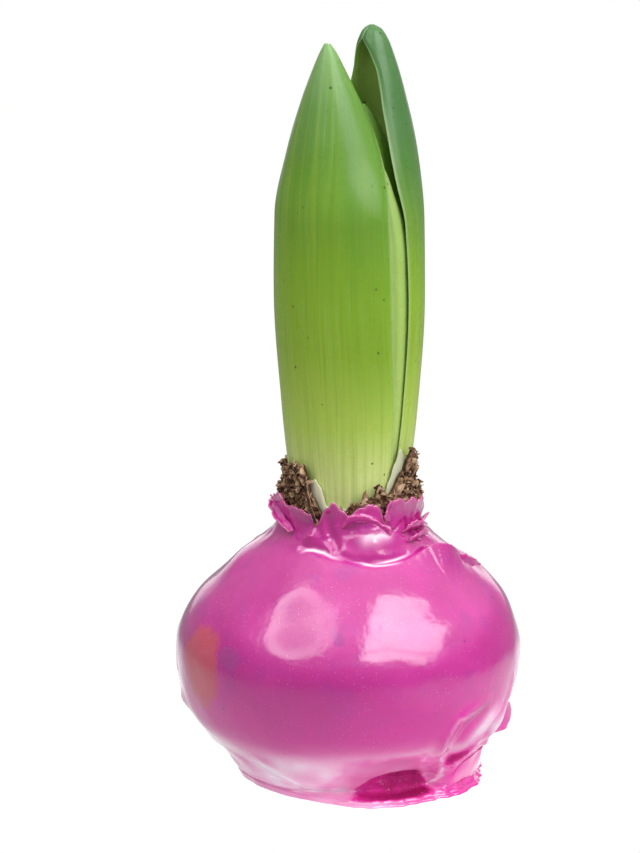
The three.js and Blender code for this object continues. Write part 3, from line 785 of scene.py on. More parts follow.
def wax_outside(angle):
    """The rows of the coat's outside, and their lay."""
    stops = section_stops(WAX_OUTSIDE)
    radius, z = spline(WAX_OUTSIDE, stops).T[:, :, None]
    before = spline(WAX_OUTSIDE, np.maximum(stops - NEARBY, 0))
    after = spline(WAX_OUTSIDE, np.minimum(stops + NEARBY, len(WAX_OUTSIDE) - 1))
    tangent = after - before
    tangent /= np.linalg.norm(tangent, axis=1)[:, None]
    out, up = tangent[:, 1][:, None], -tangent[:, 0][:, None]
    z = np.maximum(z, 0)
    rim = wax_rim(angle)
    place = polar(angle, radius, z)
    rise = wax_rise(angle, z, place, rim)
    foot = (1 - smooth(FOOT["top"], FOOT["fade"], z)) * (foot_radius(angle) / FOOT["radius"] - 1)
    r = with_runs(radius * (1 + foot) + out * rise, angle, z, place) + foot_rags(angle, radius, z)
    height = to_rim(z + up * rise, rim)
    rows = polar(angle, r + collar_flare(angle, height), height, neck_shift(z))
    return rows, wax_lay(angle, z, height, rim)


# How far each lobe of the collar leans out: angle, share of LEAN.
COLLAR_FLARE = [
    (-90, 0.8), (-70, 0.5), (-45, 0.3), (-25, 0), (-15, 0.3), (-5, 0), (10, 0.2), (25, 0.1), (36, 0.4),
    (56, 0.3), (72, 0.35), (86, 0), (100, 0.1), (130, 0.7), (160, 0.3), (200, 0.8), (235, 0.2),
]
LEAN = 1.4
collar_lean = around(COLLAR_FLARE)


def collar_flare(angle, z):
    """How far the torn lobes of the collar lean out at a height."""
    rippled = ripples(polar(angle, COLLAR_RADIUS, z), LOBE_RIPPLES) * smooth(*LOBES_RIPPLE, z)
    return smooth(*LOBES_LEAN, z) * LEAN * collar_lean(angle) + rippled


# Painted sheen on the wax round the foot, where it mirrors the bright floor: angle, paleness.
PAINTED_SHEEN = [
    (-128, 0), (-100, 0.1), (-75, 0.25), (-56, 0.5), (-42, 0.9), (-28, 0.95), (-14, 0.8), (0, 0.7),
    (10, 0.55), (20, 0.55), (32, 0.5), (42, 0.3), (48, 0), (80, 0), (110, 0), (180, 0.2), (215, 0.1),
]
painted_sheen_at = around(PAINTED_SHEEN)

# Painted highlights and sheen in lines on the wax, and with a minus sign painted shade: half-width, then
# (angle, z, strength) along the line.
PAINTED_LINES = [
    # Painted highlights under the roll before the neck.
    (0.3, [
        (-34, 45.4, 0.3), (-31.5, 45.9, 1.3), (-26, 46.1, 1.6), (-18, 45.9, 1.6), (-12, 45.2, 0.9),
        (-5, 44.8, 0.2),
    ]),
    (0.24, [
        (7, 44.5, 0.3), (9.4, 44.3, 1.2), (14, 44, 1.6), (20.6, 43.8, 1.6), (27, 43.8, 1.2),
        (33, 43.9, 0.2),
    ]),
    (0.2, [(14, 44.5, 0.2), (22, 44.4, 1), (30, 44.5, 1.2), (38, 44.7, 0.8), (42, 44.9, 0.2)]),
    # Painted sheen low on the left, then painted highlights on the folds of the skirt.
    (0.5, [
        (-45, 7.2, 0.1), (-41, 6.4, 0.4), (-32, 4.6, 0.5), (-26, 3.5, 0.5), (-20, 2.9, 0.4), (-8, 2.4, 0.3),
        (0, 2.5, 0.1),
    ]),
    (0.28, [
        (53, 18.4, 0.1), (44, 17.3, 0.5), (39.4, 16.8, 0.6), (37.5, 14.8, 0.5), (36.6, 12.8, 0.6),
        (37.5, 10.3, 0.8), (42, 8, 0.9), (45, 5.7, 1), (45.6, 3.9, 1), (43.5, 2.9, 1), (40, 2.4, 0.6),
    ]),
    (1.2, [
        (61, 17.6, 0.2), (57, 15.8, 0.9), (54.4, 13.9, 1.1), (50.6, 12.3, 1), (47.8, 10.8, 0.8),
        (44, 9.5, 0.5), (38, 9.4, 0.2),
    ]),
    (1.6, [(61, 15.5, 0.3), (64, 12.5, 0.9), (66, 10.5, 1.1), (60, 9, 1), (54, 8.2, 0.7)]),
    (0.4, [(71, 20, 0.1), (68.4, 16.1, 0.8), (66, 13.7, 0.9), (64, 11, 0.5)]),
    (3.5, [(54, 12, 0.15), (62, 15, 0.3), (72, 20, 0.25), (80, 26, 0.1)]),
    # Painted shade in the gash, and under the edge of the skirt.
    (0.75, [(50.6, 10.6, -0.4), (49, 9.4, -1.5), (47.8, 8.4, -1.9), (46.6, 7.4, -1.8), (45.2, 6.5, -0.7)]),
    (0.3, [
        (82, 6.6, -0.3), (75, 6.3, -1.2), (63, 6.1, -1.2), (56, 5.8, -1.2), (51.5, 5, -1), (49, 4, -0.5),
    ]),
    # A painted highlight on the top of the roll.
    (1.4, [(6, 47.8, 0.3), (11, 47.5, 1.3), (18, 47.7, 1.7), (24, 48, 1.5), (29, 48.6, 0.3)]),
]


SHEEN_RIPPLES = (0.8, 9, 13)
SHEEN_CLOUDS = (0.15, 3, 14)
# The painted sheen reaches up to its top, and higher over the pocket. It is fainter on the foot, but for a
# patch of painted reflection at the front.
SHEEN_SHAPE = dict(
    top=8.8, fade=(-3, 1), rise=2.8, foot=(1.3, 2.2), on_foot=0.3, patch=0.7, patch_z=(0.9, 1.3),
)
SHEEN_RISE_AT = (18, 22)  # angle, half-angle
SHEEN_PATCH_AT = (9, 11)


def near_spot(angle, spot):
    """1 at a spot's angle, and fading over its half-angle."""
    middle, half = spot
    return bell((angle - middle) / half)


def painted_sheen(angle, z, place):
    """How pale the painted sheen makes the wax round the foot."""
    shape = SHEEN_SHAPE
    top = shape["top"] + ripples(place, SHEEN_RIPPLES) + shape["rise"] * near_spot(angle, SHEEN_RISE_AT)
    pale = painted_sheen_at(angle) * (1 - smooth(*[top + fade for fade in shape["fade"]], z))
    pale = pale * (shape["on_foot"] + (1 - shape["on_foot"]) * smooth(*shape["foot"], z))
    pale = pale * (1 + ripples(place, SHEEN_CLOUDS))
    return pale + shape["patch"] * near_spot(angle, SHEEN_PATCH_AT) * (1 - smooth(*shape["patch_z"], z))


# The painted shade in the pocket's colour: the widths over which its ends and its edge fade, how far it
# reaches, the heights where it comes in, how dark it is at the left and how much more at the right, and
# where it darkens, which is between two angles at a middle height and further left with each millimetre
# below that.
POCKET_SHADE = dict(
    fade=0.4, edge=0.5, reach=8, bottom=(0.9, 1.5), depth=0.9, more=1.1, angles=(4, 26), middle=4, slant=3,
)


def pocket_shade(angle, z, climb):
    """How much painted shade darkens the wax's colour in the pocket under the front."""
    away, left, rise = from_line(angle, climb, POCKET_EDGE, POCKET_SHADE["fade"])
    within = smooth(0, POCKET_SHADE["edge"], away * left) * (away < POCKET_SHADE["reach"]) * smooth(*POCKET_SHADE["bottom"], z)
    right = smooth(*POCKET_SHADE["angles"], angle + POCKET_SHADE["slant"] * (POCKET_SHADE["middle"] - z))
    return (POCKET_SHADE["depth"] + POCKET_SHADE["more"] * right) * within * np.clip(-2 * rise, 0, 1)


TORN_WIDTH = 0.9
SHEEN_RADIUS = 25  # where the painted sheen's ripples are taken


def wax_lay(angle, z, height, rim):
    """The lay of the coat's outside: nearness to the torn rim, 0 for not the lining, and its painted light:
    how far painted sheen and highlights pale the wax, or with a minus sign how far painted shade deepens it."""
    edge = smooth(-TORN_WIDTH, 0, height - rim)
    pale = painted_sheen(angle, z, polar(angle, SHEEN_RADIUS, height))
    angle, climb = np.broadcast_arrays(angle, wax_climb(to_rim(z, rim)))
    for width, line in PAINTED_LINES:
        away, _, strength = from_line(angle, climb, line, LINE_FADE)
        pale = pale + strength * bell(away / width)
    pale = pale - pocket_shade(angle, z, climb)
    return np.stack([edge, np.zeros_like(edge), pale], -1)


def wax_lining(angle):
    """The rows of the coat's lining, from its torn rim down into the bowl that holds the bulb."""
    stops = np.linspace(0, len(WAX_LINING) - 1, LINING_ROWS)[1:]
    radius, z = spline(WAX_LINING, stops).T[:, :, None]
    bowl = polar(angle, radius, z, neck_shift(z))
    z = to_rim(np.linspace(NECK_TOP, RIM_LEVEL, COLLAR_ROWS)[:, None], wax_rim(angle) - RIM_SLANT)
    collar = polar(angle, wax_inner(z) + collar_flare(angle, z), z, neck_shift(z))
    return np.concatenate([bowl, collar])[::-1]


def wax_coat():
    """The whole coat. Its lay has 1 in the middle on the lining."""
    angle = turns(WAX_COLUMNS)
    outside, outside_lay = wax_outside(angle)
    lining = wax_lining(angle)
    lining_lay = np.broadcast_to([0.0, 1.0, 0.0], lining.shape)
    return skin(np.concatenate([outside, lining]), "poles", np.concatenate([outside_lay, lining_lay]))


# Thin flaps of wax. Each is rows of (angle, radius, z), from its root in the coat to its free edge.
FLAPS = {
    "left_petal": [
        [(-98, 13.5, 52.4), (-80, 13.4, 51.6), (-63, 13.4, 50.2), (-49, 13.6, 48.4)],
        [(-98, 14.3, 52.3), (-81, 14.4, 51.3), (-64, 14.5, 49.9), (-49, 14.6, 48.2)],
        [(-97, 15, 52.7), (-83, 15.2, 51.9), (-66, 15.4, 50.3), (-48, 15.2, 48.6)],
    ],
    "front_lip": [
        [
            (-7, 14, 50.2), (0, 14.4, 51.2), (8, 14.5, 51.4),
            (16, 14.5, 50.8), (24, 14.6, 49.6), (31, 14.6, 48.4),
        ],
        [
            (-6, 14.4, 50.7), (0, 14.8, 51.9), (8, 15, 52.2),
            (16, 15, 51.5), (23, 15, 50.4), (30, 14.9, 49.2),
        ],
        [
            (-5, 14.5, 51.2), (0, 14.9, 52.6), (8, 15.1, 52.9),
            (15, 15.2, 52.3), (22, 15.3, 51.1), (29, 15.3, 49.8),
        ],
    ],
    "lobe_fold": [
        [(33, 13.4, 50.8), (34, 13.4, 52.6), (36, 13.6, 54.4)],
        [(29, 13.9, 51), (30, 13.9, 52.8), (33, 14.1, 54.8)],
        [(25, 14.3, 51.5), (26, 14.4, 53.2), (30, 14.6, 55)],
    ],
    "right_crumple": [
        [(43, 13.9, 48.4), (54, 13.9, 48.7), (64, 13.9, 48.2), (75, 13.7, 47.4)],
        [(44, 14.7, 49.1), (54, 14.8, 49.3), (64, 14.8, 48.8), (74, 14.5, 48)],
        [(45, 15.1, 50.1), (55, 15.2, 50.5), (65, 15.2, 49.7), (73, 15, 48.8)],
    ],
    "right_fold": [
        [(44, 14.5, 46.6), (54, 14.4, 46.8), (64, 14.2, 46.8), (74, 13.9, 46.4)],
        [(44, 15.5, 47.1), (54, 15.4, 47.3), (64, 15.2, 47.3), (74, 14.8, 46.9)],
        [(45, 15.7, 47.8), (55, 15.6, 48.3), (65, 15.4, 48.2), (73, 15, 47.5)],
    ],
    "right_tip": [
        [(70, 13.4, 48.7), (79, 13.5, 48.8), (89, 13.4, 48.6)],
        [(70, 14.1, 49.2), (79, 14.3, 49.5), (88, 14, 49.2)],
        [(72, 14.4, 49.7), (80, 14.8, 50.3), (87, 14.3, 49.8)],
    ],
    "shoulder_sliver": [
        [(76, 20, 41.4), (84, 21.4, 40.4), (91, 23, 38.9), (98, 24.6, 37.4)],
        [(77, 20, 42.4), (84, 21.4, 41.6), (91, 23, 40.2), (98, 24.8, 38.4)],
        [(77, 20.2, 43), (85, 21.6, 42.3), (92, 23.6, 40.6), (98, 25.3, 38.7)],
    ],
    "low_flap": [
        [(66, 28, 16), (72, 27.4, 12.6), (76, 26.6, 9)],
        [(74, 29.8, 15.4), (78, 29.2, 12.2), (80, 28.2, 8.6)],
        [(80, 30.5, 14.6), (84, 30.7, 11.8), (84, 29.7, 8.8)],
    ],
    "back_petal": [
        [(176, 13.5, 47.4), (188, 13.6, 47.6), (200, 13.5, 47.4)],
        [(177, 14.9, 49.2), (188, 15.1, 49.5), (199, 14.9, 49.2)],
        [(178, 14.6, 51), (188, 15, 51.6), (198, 14.7, 50.8)],
    ],
    "back_lip": [
        [(170, 18.6, 41.6), (180, 18.9, 41.5), (190, 18.9, 41.5), (200, 18.7, 41.6)],
        [(171, 19, 43), (180, 19.4, 43.3), (190, 19.4, 43.2), (199, 19, 42.8)],
        [(172, 18.6, 44.2), (180, 18.8, 45), (189, 18.8, 44.8), (198, 18.7, 43.8)],
    ],
}
# A torn strip of the tunic that hangs down inside the collar.
TUNIC_STRIP = [
    [(-38.5, 13.2, 58.6), (-34.5, 13.9, 55.5), (-30, 14.1, 52.6), (-26.5, 13.9, 50.2)],
    [(-37.6, 13.3, 58.8), (-33.6, 14, 55.7), (-29.2, 14.2, 52.8), (-25.6, 14, 50.4)],
    [(-36.6, 13.2, 59), (-32.8, 13.9, 55.9), (-28.3, 14.1, 53), (-24.6, 13.9, 50.6)],
]
FLAP_THICKNESS = 0.62
FLAP_STEPS = 60
RAGGED = 0.2  # the share of a flap that is torn away at most
NEARLY_WHOLE = {"low_flap": 0.03}
FLAP_SEED = 40
SEEDS_EACH = 3
STRIP_SEED = 90


def flap(rows, seed, ragged=RAGGED, across=56, along=22):
    """A thin sheet through a coarse grid of points, with a torn free edge."""
    grid = np.array([[polar(angle, radius, z, neck_shift(z)) for angle, radius, z in row] for row in rows])
    side = crowded(across)
    fine = spline(grid, np.linspace(0, len(grid) - 1, FLAP_STEPS))
    fine = spline(fine.swapaxes(0, 1), (side + 1) / 2 * (grid.shape[1] - 1))
    torn_away = ripple(fine[:, -1], 1, seed) + 0.6 * ripple(fine[:, -1], 0.45, seed + 1)
    reach = 1 - ragged * np.clip(0.5 + 0.4 * torn_away, 0, 1)
    out = np.sin(np.linspace(0, 1, along) * math.pi / 2)[:, None]
    at = out * reach * (FLAP_STEPS - 1)
    i = np.minimum(at.astype(int), FLAP_STEPS - 2)
    column = np.arange(across)[None, :]
    middle = fine[column, i] + (fine[column, i + 1] - fine[column, i]) * (at - i)[..., None]
    middle = middle + 0.1 * ripple(middle, 1.2, seed + 2)[..., None] * np.array([0.7, -0.7, 0.3])
    edge = np.maximum(np.abs(side)[None, :], out)
    half = FLAP_THICKNESS / 2 * (1 - 0.35 * out) * np.sqrt(1.02 - edge**16)
    nothing = np.zeros_like(edge)
    return blade(middle, half, np.stack([smooth(0.8, 1, edge), nothing, nothing], -1))


# ---- the bulb and its tunic -------------------------------------------------------------------------

# Sections below the neck, as radius and z.
BULB_SKIN = [
    (0, 2.3), (16.2, 3), (20.2, 5.4), (24.6, 9.8), (28.5, 15), (30.2, 21.5), (30, 26), (27.6, 31.4),
    (22.6, 36.6), (17.3, 40.9), (15.9, 41), (14.75, 42.3), (12.9, 44.4), (11.45, 46.9),
]
TUNIC_OUTSIDE = [(16.6, 41.9), (15.5, 43.3), (13.7, 45.4), (12.4, 47.4)]
TUNIC_INSIDE = [(11.8, 47), (13.2, 44.7), (15.1, 42.6), (16.3, 41.4)]
SCALE_START = 48
TUNIC_START = 48.4
BULB_COLUMNS = 300
BULB_ROWS = 70
SCALE_ROWS = 40
TUNIC_COLUMNS = 420
TUNIC_ROWS = 60
CRUMB_ROWS = 24
TUNIC_SLANT = 0.15  # the same for the tunic's rim
CRUMBS_BELOW_RIM = 0.6

# Creases of the dry skin: share, size, seed. They come in between two heights, and are taken at one radius.
SKIN_CREASES = [(0.35, 2.4, 32), (0.4, 1.1, 33), (0.25, 0.5, 34)]
CREASE_HEIGHT = 1.1
CREASE_RADIUS = 12.8
CREASED_FROM = (50.5, 52.5)
# The collar holds them this far inside it up to its rim, and lets them out by so much above the rim.
HELD_INSIDE = 0.1
LET_OUT = 3
LET_OUT_OVER = (0, 1.5)


def section_rows(section, count, angle):
    """Rows of points round a section."""
    radius, z = spline(section, np.linspace(0, len(section) - 1, count)).T[:, :, None]
    return polar(angle, radius, z, neck_shift(z))


def bulb():
    """The bulb with its socket for the shoot. Its lay has the height in the middle."""
    angle = turns(BULB_COLUMNS)
    rim = scale_rim(angle)
    skin_rows = section_rows(BULB_SKIN, BULB_ROWS, angle)[1:]
    share = np.linspace(0, 1, SCALE_ROWS)[:, None] ** 0.8
    z = SCALE_START + (rim - SCALE_START) * share
    outer = polar(angle, scale_inner(z) + SCALE_WALL * (1 - 0.5 * share**6), z, neck_shift(z))
    z = rim - RIM_SLANT + (SOCKET_FLOOR - rim) * np.linspace(0, 1, SCALE_ROWS)[:, None]
    inner = polar(angle, scale_inner(z) + SHOOT_ROOM, z, neck_shift(z))
    rows = np.concatenate([skin_rows, outer, inner])
    lay = np.zeros_like(rows)
    lay[..., 1] = rows[..., 2]
    return skin(rows, "poles", lay)


def crumpled(place):
    """Sharp creases of three sizes, from 0 to about 1."""
    return sum(share * np.abs(ripple(place, size, seed)) for share, size, seed in SKIN_CREASES)


def tunic():
    """The dry skin round the neck. Its lay starts with how far its creases stand out."""
    angle = turns(TUNIC_COLUMNS)
    rim = tunic_rim(angle)
    low = section_rows(TUNIC_OUTSIDE, 10, angle)
    share = np.linspace(0, 1, TUNIC_ROWS)[:, None]
    z = TUNIC_START + (rim - TUNIC_START) * share
    rough = smooth(*CREASED_FROM, z) * crumpled(polar(angle, CREASE_RADIUS, z))
    out = tunic_inner(z, angle) + TUNIC_WALL * 0.5 + CREASE_HEIGHT * rough
    under_wax = wax_inner(z) + collar_flare(angle, z) - HELD_INSIDE
    out = np.minimum(out, under_wax + LET_OUT * smooth(*LET_OUT_OVER, z - wax_rim(angle)))
    outer = polar(angle, out, z, neck_shift(z))
    z = TUNIC_START + (rim - TUNIC_SLANT - TUNIC_START) * share[::-1]
    inner = polar(angle, tunic_inner(z, angle), z, neck_shift(z))
    rows = np.concatenate([low, outer, inner, section_rows(TUNIC_INSIDE, 6, angle)])
    lay = np.zeros_like(rows)
    lay[len(low):len(low) + len(outer), :, 0] = rough
    return skin(rows, "loop", lay)


def crumb_bed():
    """The band of tunic over the collar that crumbs grow on. It is open, since only its crumbs are kept."""
    angle = turns(BULB_COLUMNS)
    low = wax_rim(angle) - CRUMBS_BELOW_RIM
    z = low + np.maximum(tunic_rim(angle) - low, 0.1) * np.linspace(0, 1, CRUMB_ROWS)[:, None]
    rows = polar(angle, tunic_inner(z, angle) + TUNIC_WALL, z, neck_shift(z))
    at = np.arange(rows.shape[0] * rows.shape[1]).reshape(rows.shape[:2])
    points = rows.reshape(-1, 3)
    return points, quads(at[:-1], at[1:]).tolist(), np.zeros_like(points)


# ---- the leaves -------------------------------------------------------------------------------------

# A leaf's lay holds the way across it, its height, and how near its margin or fold is. The way across goes
# from -LEAF_WIDTH to LEAF_WIDTH. The leaf material gives painted shade to a leaf whose way across is moved
# aside by SHADE_STEP, and painted light to one moved the other way and to the inside of a shaded leaf, which
# is moved by twice that the other way.
LEAF_WIDTH = 18
SHADE_STEP = 60
FOLD_STEP = 0.65
FOLD_WIDTH = 0.9
FOLD_SWELL = (54, 17)  # angle, half-angle
TIP_CROWDING = 1.75  # how much a blade's rows crowd towards its tip
MARGIN_START = 0.88  # of the way from midrib to margin, past which the blade thins by a share
MARGIN_THINNING = 0.55


def leaf(midrib, thick, sections, fold=None, shade=0, across=84, along=220):
    """A leaf blade. A fold is the angle of a long step in it, past which it stands out a little."""
    heights = [section[0] for section in sections]
    centre_x, centre_y, radius, half_angle = [
        through(list(zip(heights, values))) for values in list(zip(*sections))[1:]
    ]
    v = np.linspace(0, 1, along)[:, None]
    w = crowded(across)[None, :]
    z = LEAF_BASE + (heights[-1] - LEAF_BASE) * (1 - (1 - v) ** TIP_CROWDING)
    wall = np.minimum(MARGIN_THICKNESS + (thick - MARGIN_THICKNESS) * (1 - w * w), 0.6 * radius(z))
    angle = midrib + w * half_angle(z)
    out = radius(z) - wall / 2
    line = np.zeros_like(angle)
    if fold:
        step = near_spot(angle, FOLD_SWELL) * 0.4 + smooth(fold - 1, fold + 1, angle) * 0.6
        out = out + FOLD_STEP * step
        line = bell((angle - fold) / FOLD_WIDTH)
    middle = polar(angle, out, z, centre_x(z), centre_y(z))
    thinned = 1 - MARGIN_THINNING * smooth(MARGIN_START, 1, np.abs(w))
    half = wall / 2 * thinned * np.sqrt(1.03 - np.abs(w) ** 24)
    way, height, side = np.broadcast_arrays(w * LEAF_WIDTH, z, np.abs(w))
    outer_lay = np.stack([way + SHADE_STEP * shade, height, np.maximum(side, line)], -1)
    inner_lay = np.stack([way - 2 * SHADE_STEP * (shade > 0), height, side], -1)
    return blade(middle, half, outer_lay, inner_lay)


# ---- materials --------------------------------------------------------------------------------------

# Stains in the wax: angle, radius, z, then half-sizes across, in depth and up, and colour.
STAINS = [
    (-60, 31.5, 24.6, (6.2, 6.2, 7.6), (0.66, 0.09, 0.1)),
    (-44, 31.4, 28, (2.6, 3, 2.0), (0.4, 0.04, 0.27)),
    (-3.5, 28.8, 33.2, (1.1, 2, 1.2), (0.4, 0.02, 0.27)),
]
WAX_COLORS = dict(
    thick=(0.52, 0.016, 0.265), thin=(0.6, 0.025, 0.315), dusky=(0.42, 0.024, 0.3), low=(0.92, 0.036, 0.45),
    painted_sheen=(0.98, 0.5, 0.76), whitest=(1, 0.85, 0.95), deep=(0.72, 0.02, 0.33), crimson=(0.34, 0.002, 0.09),
    glint=(0.95, 0.5, 0.8), speck=(0.1, 0.01, 0.06), torn=(0.75, 0.2, 0.42), lining=(0.5, 0.12, 0.14),
)


def patch(place, angle, radius, height, sizes):
    """How far a place is from a patch's middle: about 1 at its edge, which is rough."""
    centre = [float(c) * MM for c in polar(angle, radius, height)]
    away = place.vector("SUBTRACT", centre).vector("DIVIDE", [size * MM for size in sizes])
    return away.length() + (place.noise(2.4, 3) - 0.5) * 0.8


def wax_material():
    """Its lay says where the rim is torn, where the lining is, and how far painted sheen and highlights pale
    the wax or painted shade deepens it.
    """
    made, place, lay = new_material("magenta_wax")
    shade = WAX_COLORS
    edge, inside, pale = lay.parts()
    x, _, z = place.parts()
    color = place.noise(12).smooth(0.35, 0.7).mix(shade["thick"], shade["thin"])
    color = (place.noise(5, 3).smooth(0.54, 0.7) * 0.45).mix(color, shade["dusky"])
    # Painted light: the wax is lighter and redder low down, more so on the right, to make up for shade
    # there.
    low = z.smooth(0.028, 0.009) * (z.smooth(0, 0.009) * 0.4 + 0.6)
    color = (low * (x.smooth(-0.022, 0.012) * 0.3 + 0.65)).mix(color, shade["low"])
    for *spot, stain in STAINS:
        color = (patch(place, *spot).smooth(1.2, 0.75) * 0.78).mix(color, stain)
    # Painted sheen and painted highlights pale the wax, and the brightest of them go nearly white.
    color = pale.mix(color, shade["painted_sheen"])
    color = pale.smooth(0.8, 1.5).mix(color, shade["whitest"])
    # Painted shade deepens the wax in the pocket, the gash and under the skirt's edge, darkest where
    # strongest.
    deep = pale.smooth(-0.15, -0.8)
    crimson = pale.smooth(-0.8, -2) * 0.75 + place.noise(1.2, 3).smooth(0.3, 0.7) * 0.25
    color = (deep * 0.9).mix(color, crimson.mix(shade["deep"], shade["crimson"]))
    chance = place.voronoi(0.5, output=1).parts()[0]
    glint = place.voronoi(0.5).smooth(0.24, 0.1) * chance.smooth(0.4, 1) * place.noise(9).smooth(0.25, 0.65)
    color = (glint * 0.4).mix(color, shade["glint"])
    color = (place.voronoi(5.5).smooth(0.045, 0.03) * 0.8).mix(color, shade["speck"])
    color = (edge * 0.5).mix(color, shade["torn"])
    color = inside.mix(color, shade["lining"])
    # In the pocket the wax is rough and catches the light in specks.
    matt = deep * place.noise(0.7, 3).smooth(0.72, 0.6)
    inputs = {
        "Base Color": color,
        "Roughness": 0.17 + place.noise(4).smooth(0.3, 0.8) * 0.08 + matt * 0.45,
        "Metallic": matt * 0.7,
        "Coat Weight": 0.75 - matt * 0.75,
        "Coat Roughness": 0.08,
        "Specular IOR Level": 0.9,
        "IOR": 1.45,
        "Subsurface Weight": 0.25,
        "Subsurface Radius": (1, 0.25, 0.5),
        "Subsurface Scale": 1.6 * MM,
    }
    return finish_material(made, inputs, [(place.noise(2.2), 0.12)])


# Leaf green from the pale base to the blue-green tip: height in millimetres, colour.
LEAF_GREENS = [
    (48, (0.9, 0.95, 0.57)), (56, (0.77, 0.86, 0.34)), (68, (0.49, 0.67, 0.11)), (82, (0.31, 0.5, 0.04)),
    (98, (0.235, 0.43, 0.026)), (115, (0.135, 0.305, 0.03)), (126, (0.14, 0.3, 0.07)),
    (137, (0.24, 0.43, 0.17)),
]
LEAF_RAMP_TOP = 150
LEAF_COLORS = dict(
    light_fibre=(0.26, 0.42, 0.03), dark=(0.13, 0.3, 0.015), vein=(0.06, 0.18, 0.015),
    fine_fibre=(0.5, 0.66, 0.3), flank=(0.06, 0.2, 0.05), back_leaf_shade=(0.055, 0.165, 0.05),
    hood_inside_light=(0.5, 0.66, 0.09), second_leaf_light=(0.48, 0.67, 0.2), margin=(0.5, 0.64, 0.34),
    speck=(0.06, 0.05, 0.01), small_speck=(0.04, 0.05, 0.01),
)
BROAD_FIBRES = 0.7  # to a millimetre
FINE_FIBRES = 2.6


def leaf_material():
    """Its lay holds the way across the blade, the height, and how near the margin or the fold is."""
    made, place, lay = new_material("hyacinth_leaf")
    shade = LEAF_COLORS
    across, height, margin = lay.parts()
    color = (height / LEAF_RAMP_TOP).ramp([(z / LEAF_RAMP_TOP, green) for z, green in LEAF_GREENS])
    along = lay.vector("MULTIPLY", (1, 0.02, 0))
    broad = along.noise(1 / BROAD_FIBRES, unit=1)
    fine = along.noise(1 / FINE_FIBRES, 3, unit=1)
    color = (broad.smooth(0.42, 0.7) * 0.4).mix(color, shade["light_fibre"])
    color = (broad.smooth(0.5, 0.3) * height.smooth(54, 80) * 0.2).mix(color, shade["dark"])
    color = (fine.smooth(0.5, 0.3) * 0.18).mix(color, shade["vein"])
    color = (fine.smooth(0.55, 0.75) * 0.2).mix(color, shade["fine_fibre"])
    unshaded = across.smooth(24, 19)
    flank = (across * across).smooth(16, 150) * unshaded * height.smooth(88, 112) * height.smooth(138, 122)
    color = (flank * 0.4).mix(color, shade["flank"])
    # Painted shade on the upper part of the back leaf.
    color = (across.smooth(30, 42) * height.smooth(88, 128) * 0.84).mix(color, shade["back_leaf_shade"])
    # Painted light: the inside of the back leaf's hood is lightened, as light through the leaf would do.
    color = (across.smooth(-85, -100) * 0.65).mix(color, shade["hood_inside_light"])
    color = (across.smooth(3, 14) * unshaded * height.smooth(58, 84) * 0.32).mix(color, shade["dark"])
    # Painted light: the second leaf is lightened where the back leaf shades it.
    color = (across.smooth(-30, -42) * 0.62).mix(color, shade["second_leaf_light"])
    color = (margin.smooth(0.955, 0.99) * 0.35).mix(color, shade["margin"])
    color = (place.voronoi(7.5).smooth(0.034, 0.018) * 0.8).mix(color, shade["speck"])
    speck = place.voronoi(2.6).smooth(0.13, 0.07) * place.noise(8).smooth(0.54, 0.58)
    color = (speck * 0.85).mix(color, shade["small_speck"])
    inputs = {
        "Base Color": color,
        "Roughness": 0.25 + place.noise(5).smooth(0.3, 0.8) * 0.12,
        "Specular IOR Level": 0.5,
        "IOR": 1.42,
        "Subsurface Weight": 0.25,
        "Subsurface Radius": (0.4, 1, 0.15),
        "Subsurface Scale": 1.2 * MM,
    }
    return finish_material(made, inputs, [(fine + broad * 0.5, 0.015)])


# Dry tunic from dark to light: share, colour. Its darkest browns are painted shade in the creases' hollows,
# its lightest painted highlights on their ridges, mixed with tone that differs at random.
TUNIC_BROWNS = [
    (0, (0.025, 0.009, 0.005)), (0.28, (0.12, 0.055, 0.028)), (0.55, (0.31, 0.175, 0.09)),
    (0.9, (0.6, 0.42, 0.27)),
]


def tunic_material():
    """Its lay holds how far a crease stands out, and a crumb's own tone."""
    made, place, lay = new_material("dry_tunic")
    rough, own, _ = lay.parts()
    # Partly random tone, partly painted shade and highlights: darker where a crease lies low, lighter where
    # it stands out.
    tone = place.noise(0.8, 3) * 0.8 + own * 0.5 + rough * 0.5
    color = tone.smooth(0.25, 1.15).ramp(TUNIC_BROWNS)
    inputs = {"Base Color": color, "Roughness": 0.75, "Specular IOR Level": 0.35}
    return finish_material(made, inputs, [(place.noise(0.7, 3), 0.25)])


# Bulb scale from its pale foot to its greener tip: height in decimetres, colour.
SCALE_WHITES = [(0.5, (0.72, 0.7, 0.5)), (0.58, (0.7, 0.7, 0.48)), (0.64, (0.6, 0.62, 0.42))]


def scale_material():
    """Its lay has the height in the middle."""
    made, place, lay = new_material("bulb_scale")
    height = lay.parts()[1]
    streak = place.vector("MULTIPLY", (1, 1, 0.08)).noise(0.8)
    color = (height / 100).ramp(SCALE_WHITES)
    color = (streak.smooth(0.4, 0.7) * 0.5).mix(color, (0.74, 0.76, 0.6))
    inputs = {"Base Color": color, "Roughness": 0.35, "Subsurface Weight": 0.15, "Subsurface Scale": 1 * MM}
    return finish_material(made, inputs, [(streak, 0.08)])


def bud_material():
    """Two plain greens in clouds."""
    made, place, _ = new_material("green_bud")
    color = place.noise(3).smooth(0.3, 0.7).mix((0.2, 0.32, 0.06), (0.36, 0.46, 0.16))
    return finish_material(made, {"Base Color": color, "Roughness": 0.5}, [])


# ---- what grows in numbers --------------------------------------------------------------------------

# Each flake's least and greatest tilt in radians, and its least and greatest half-sizes.
FLAKE_TILT = ((-1.3, -1.3, -3.1), (1.3, 1.3, 3.1))
FLAKE_SHAPE = ((0.8, 0.35, 0.08), (2, 0.8, 0.15))


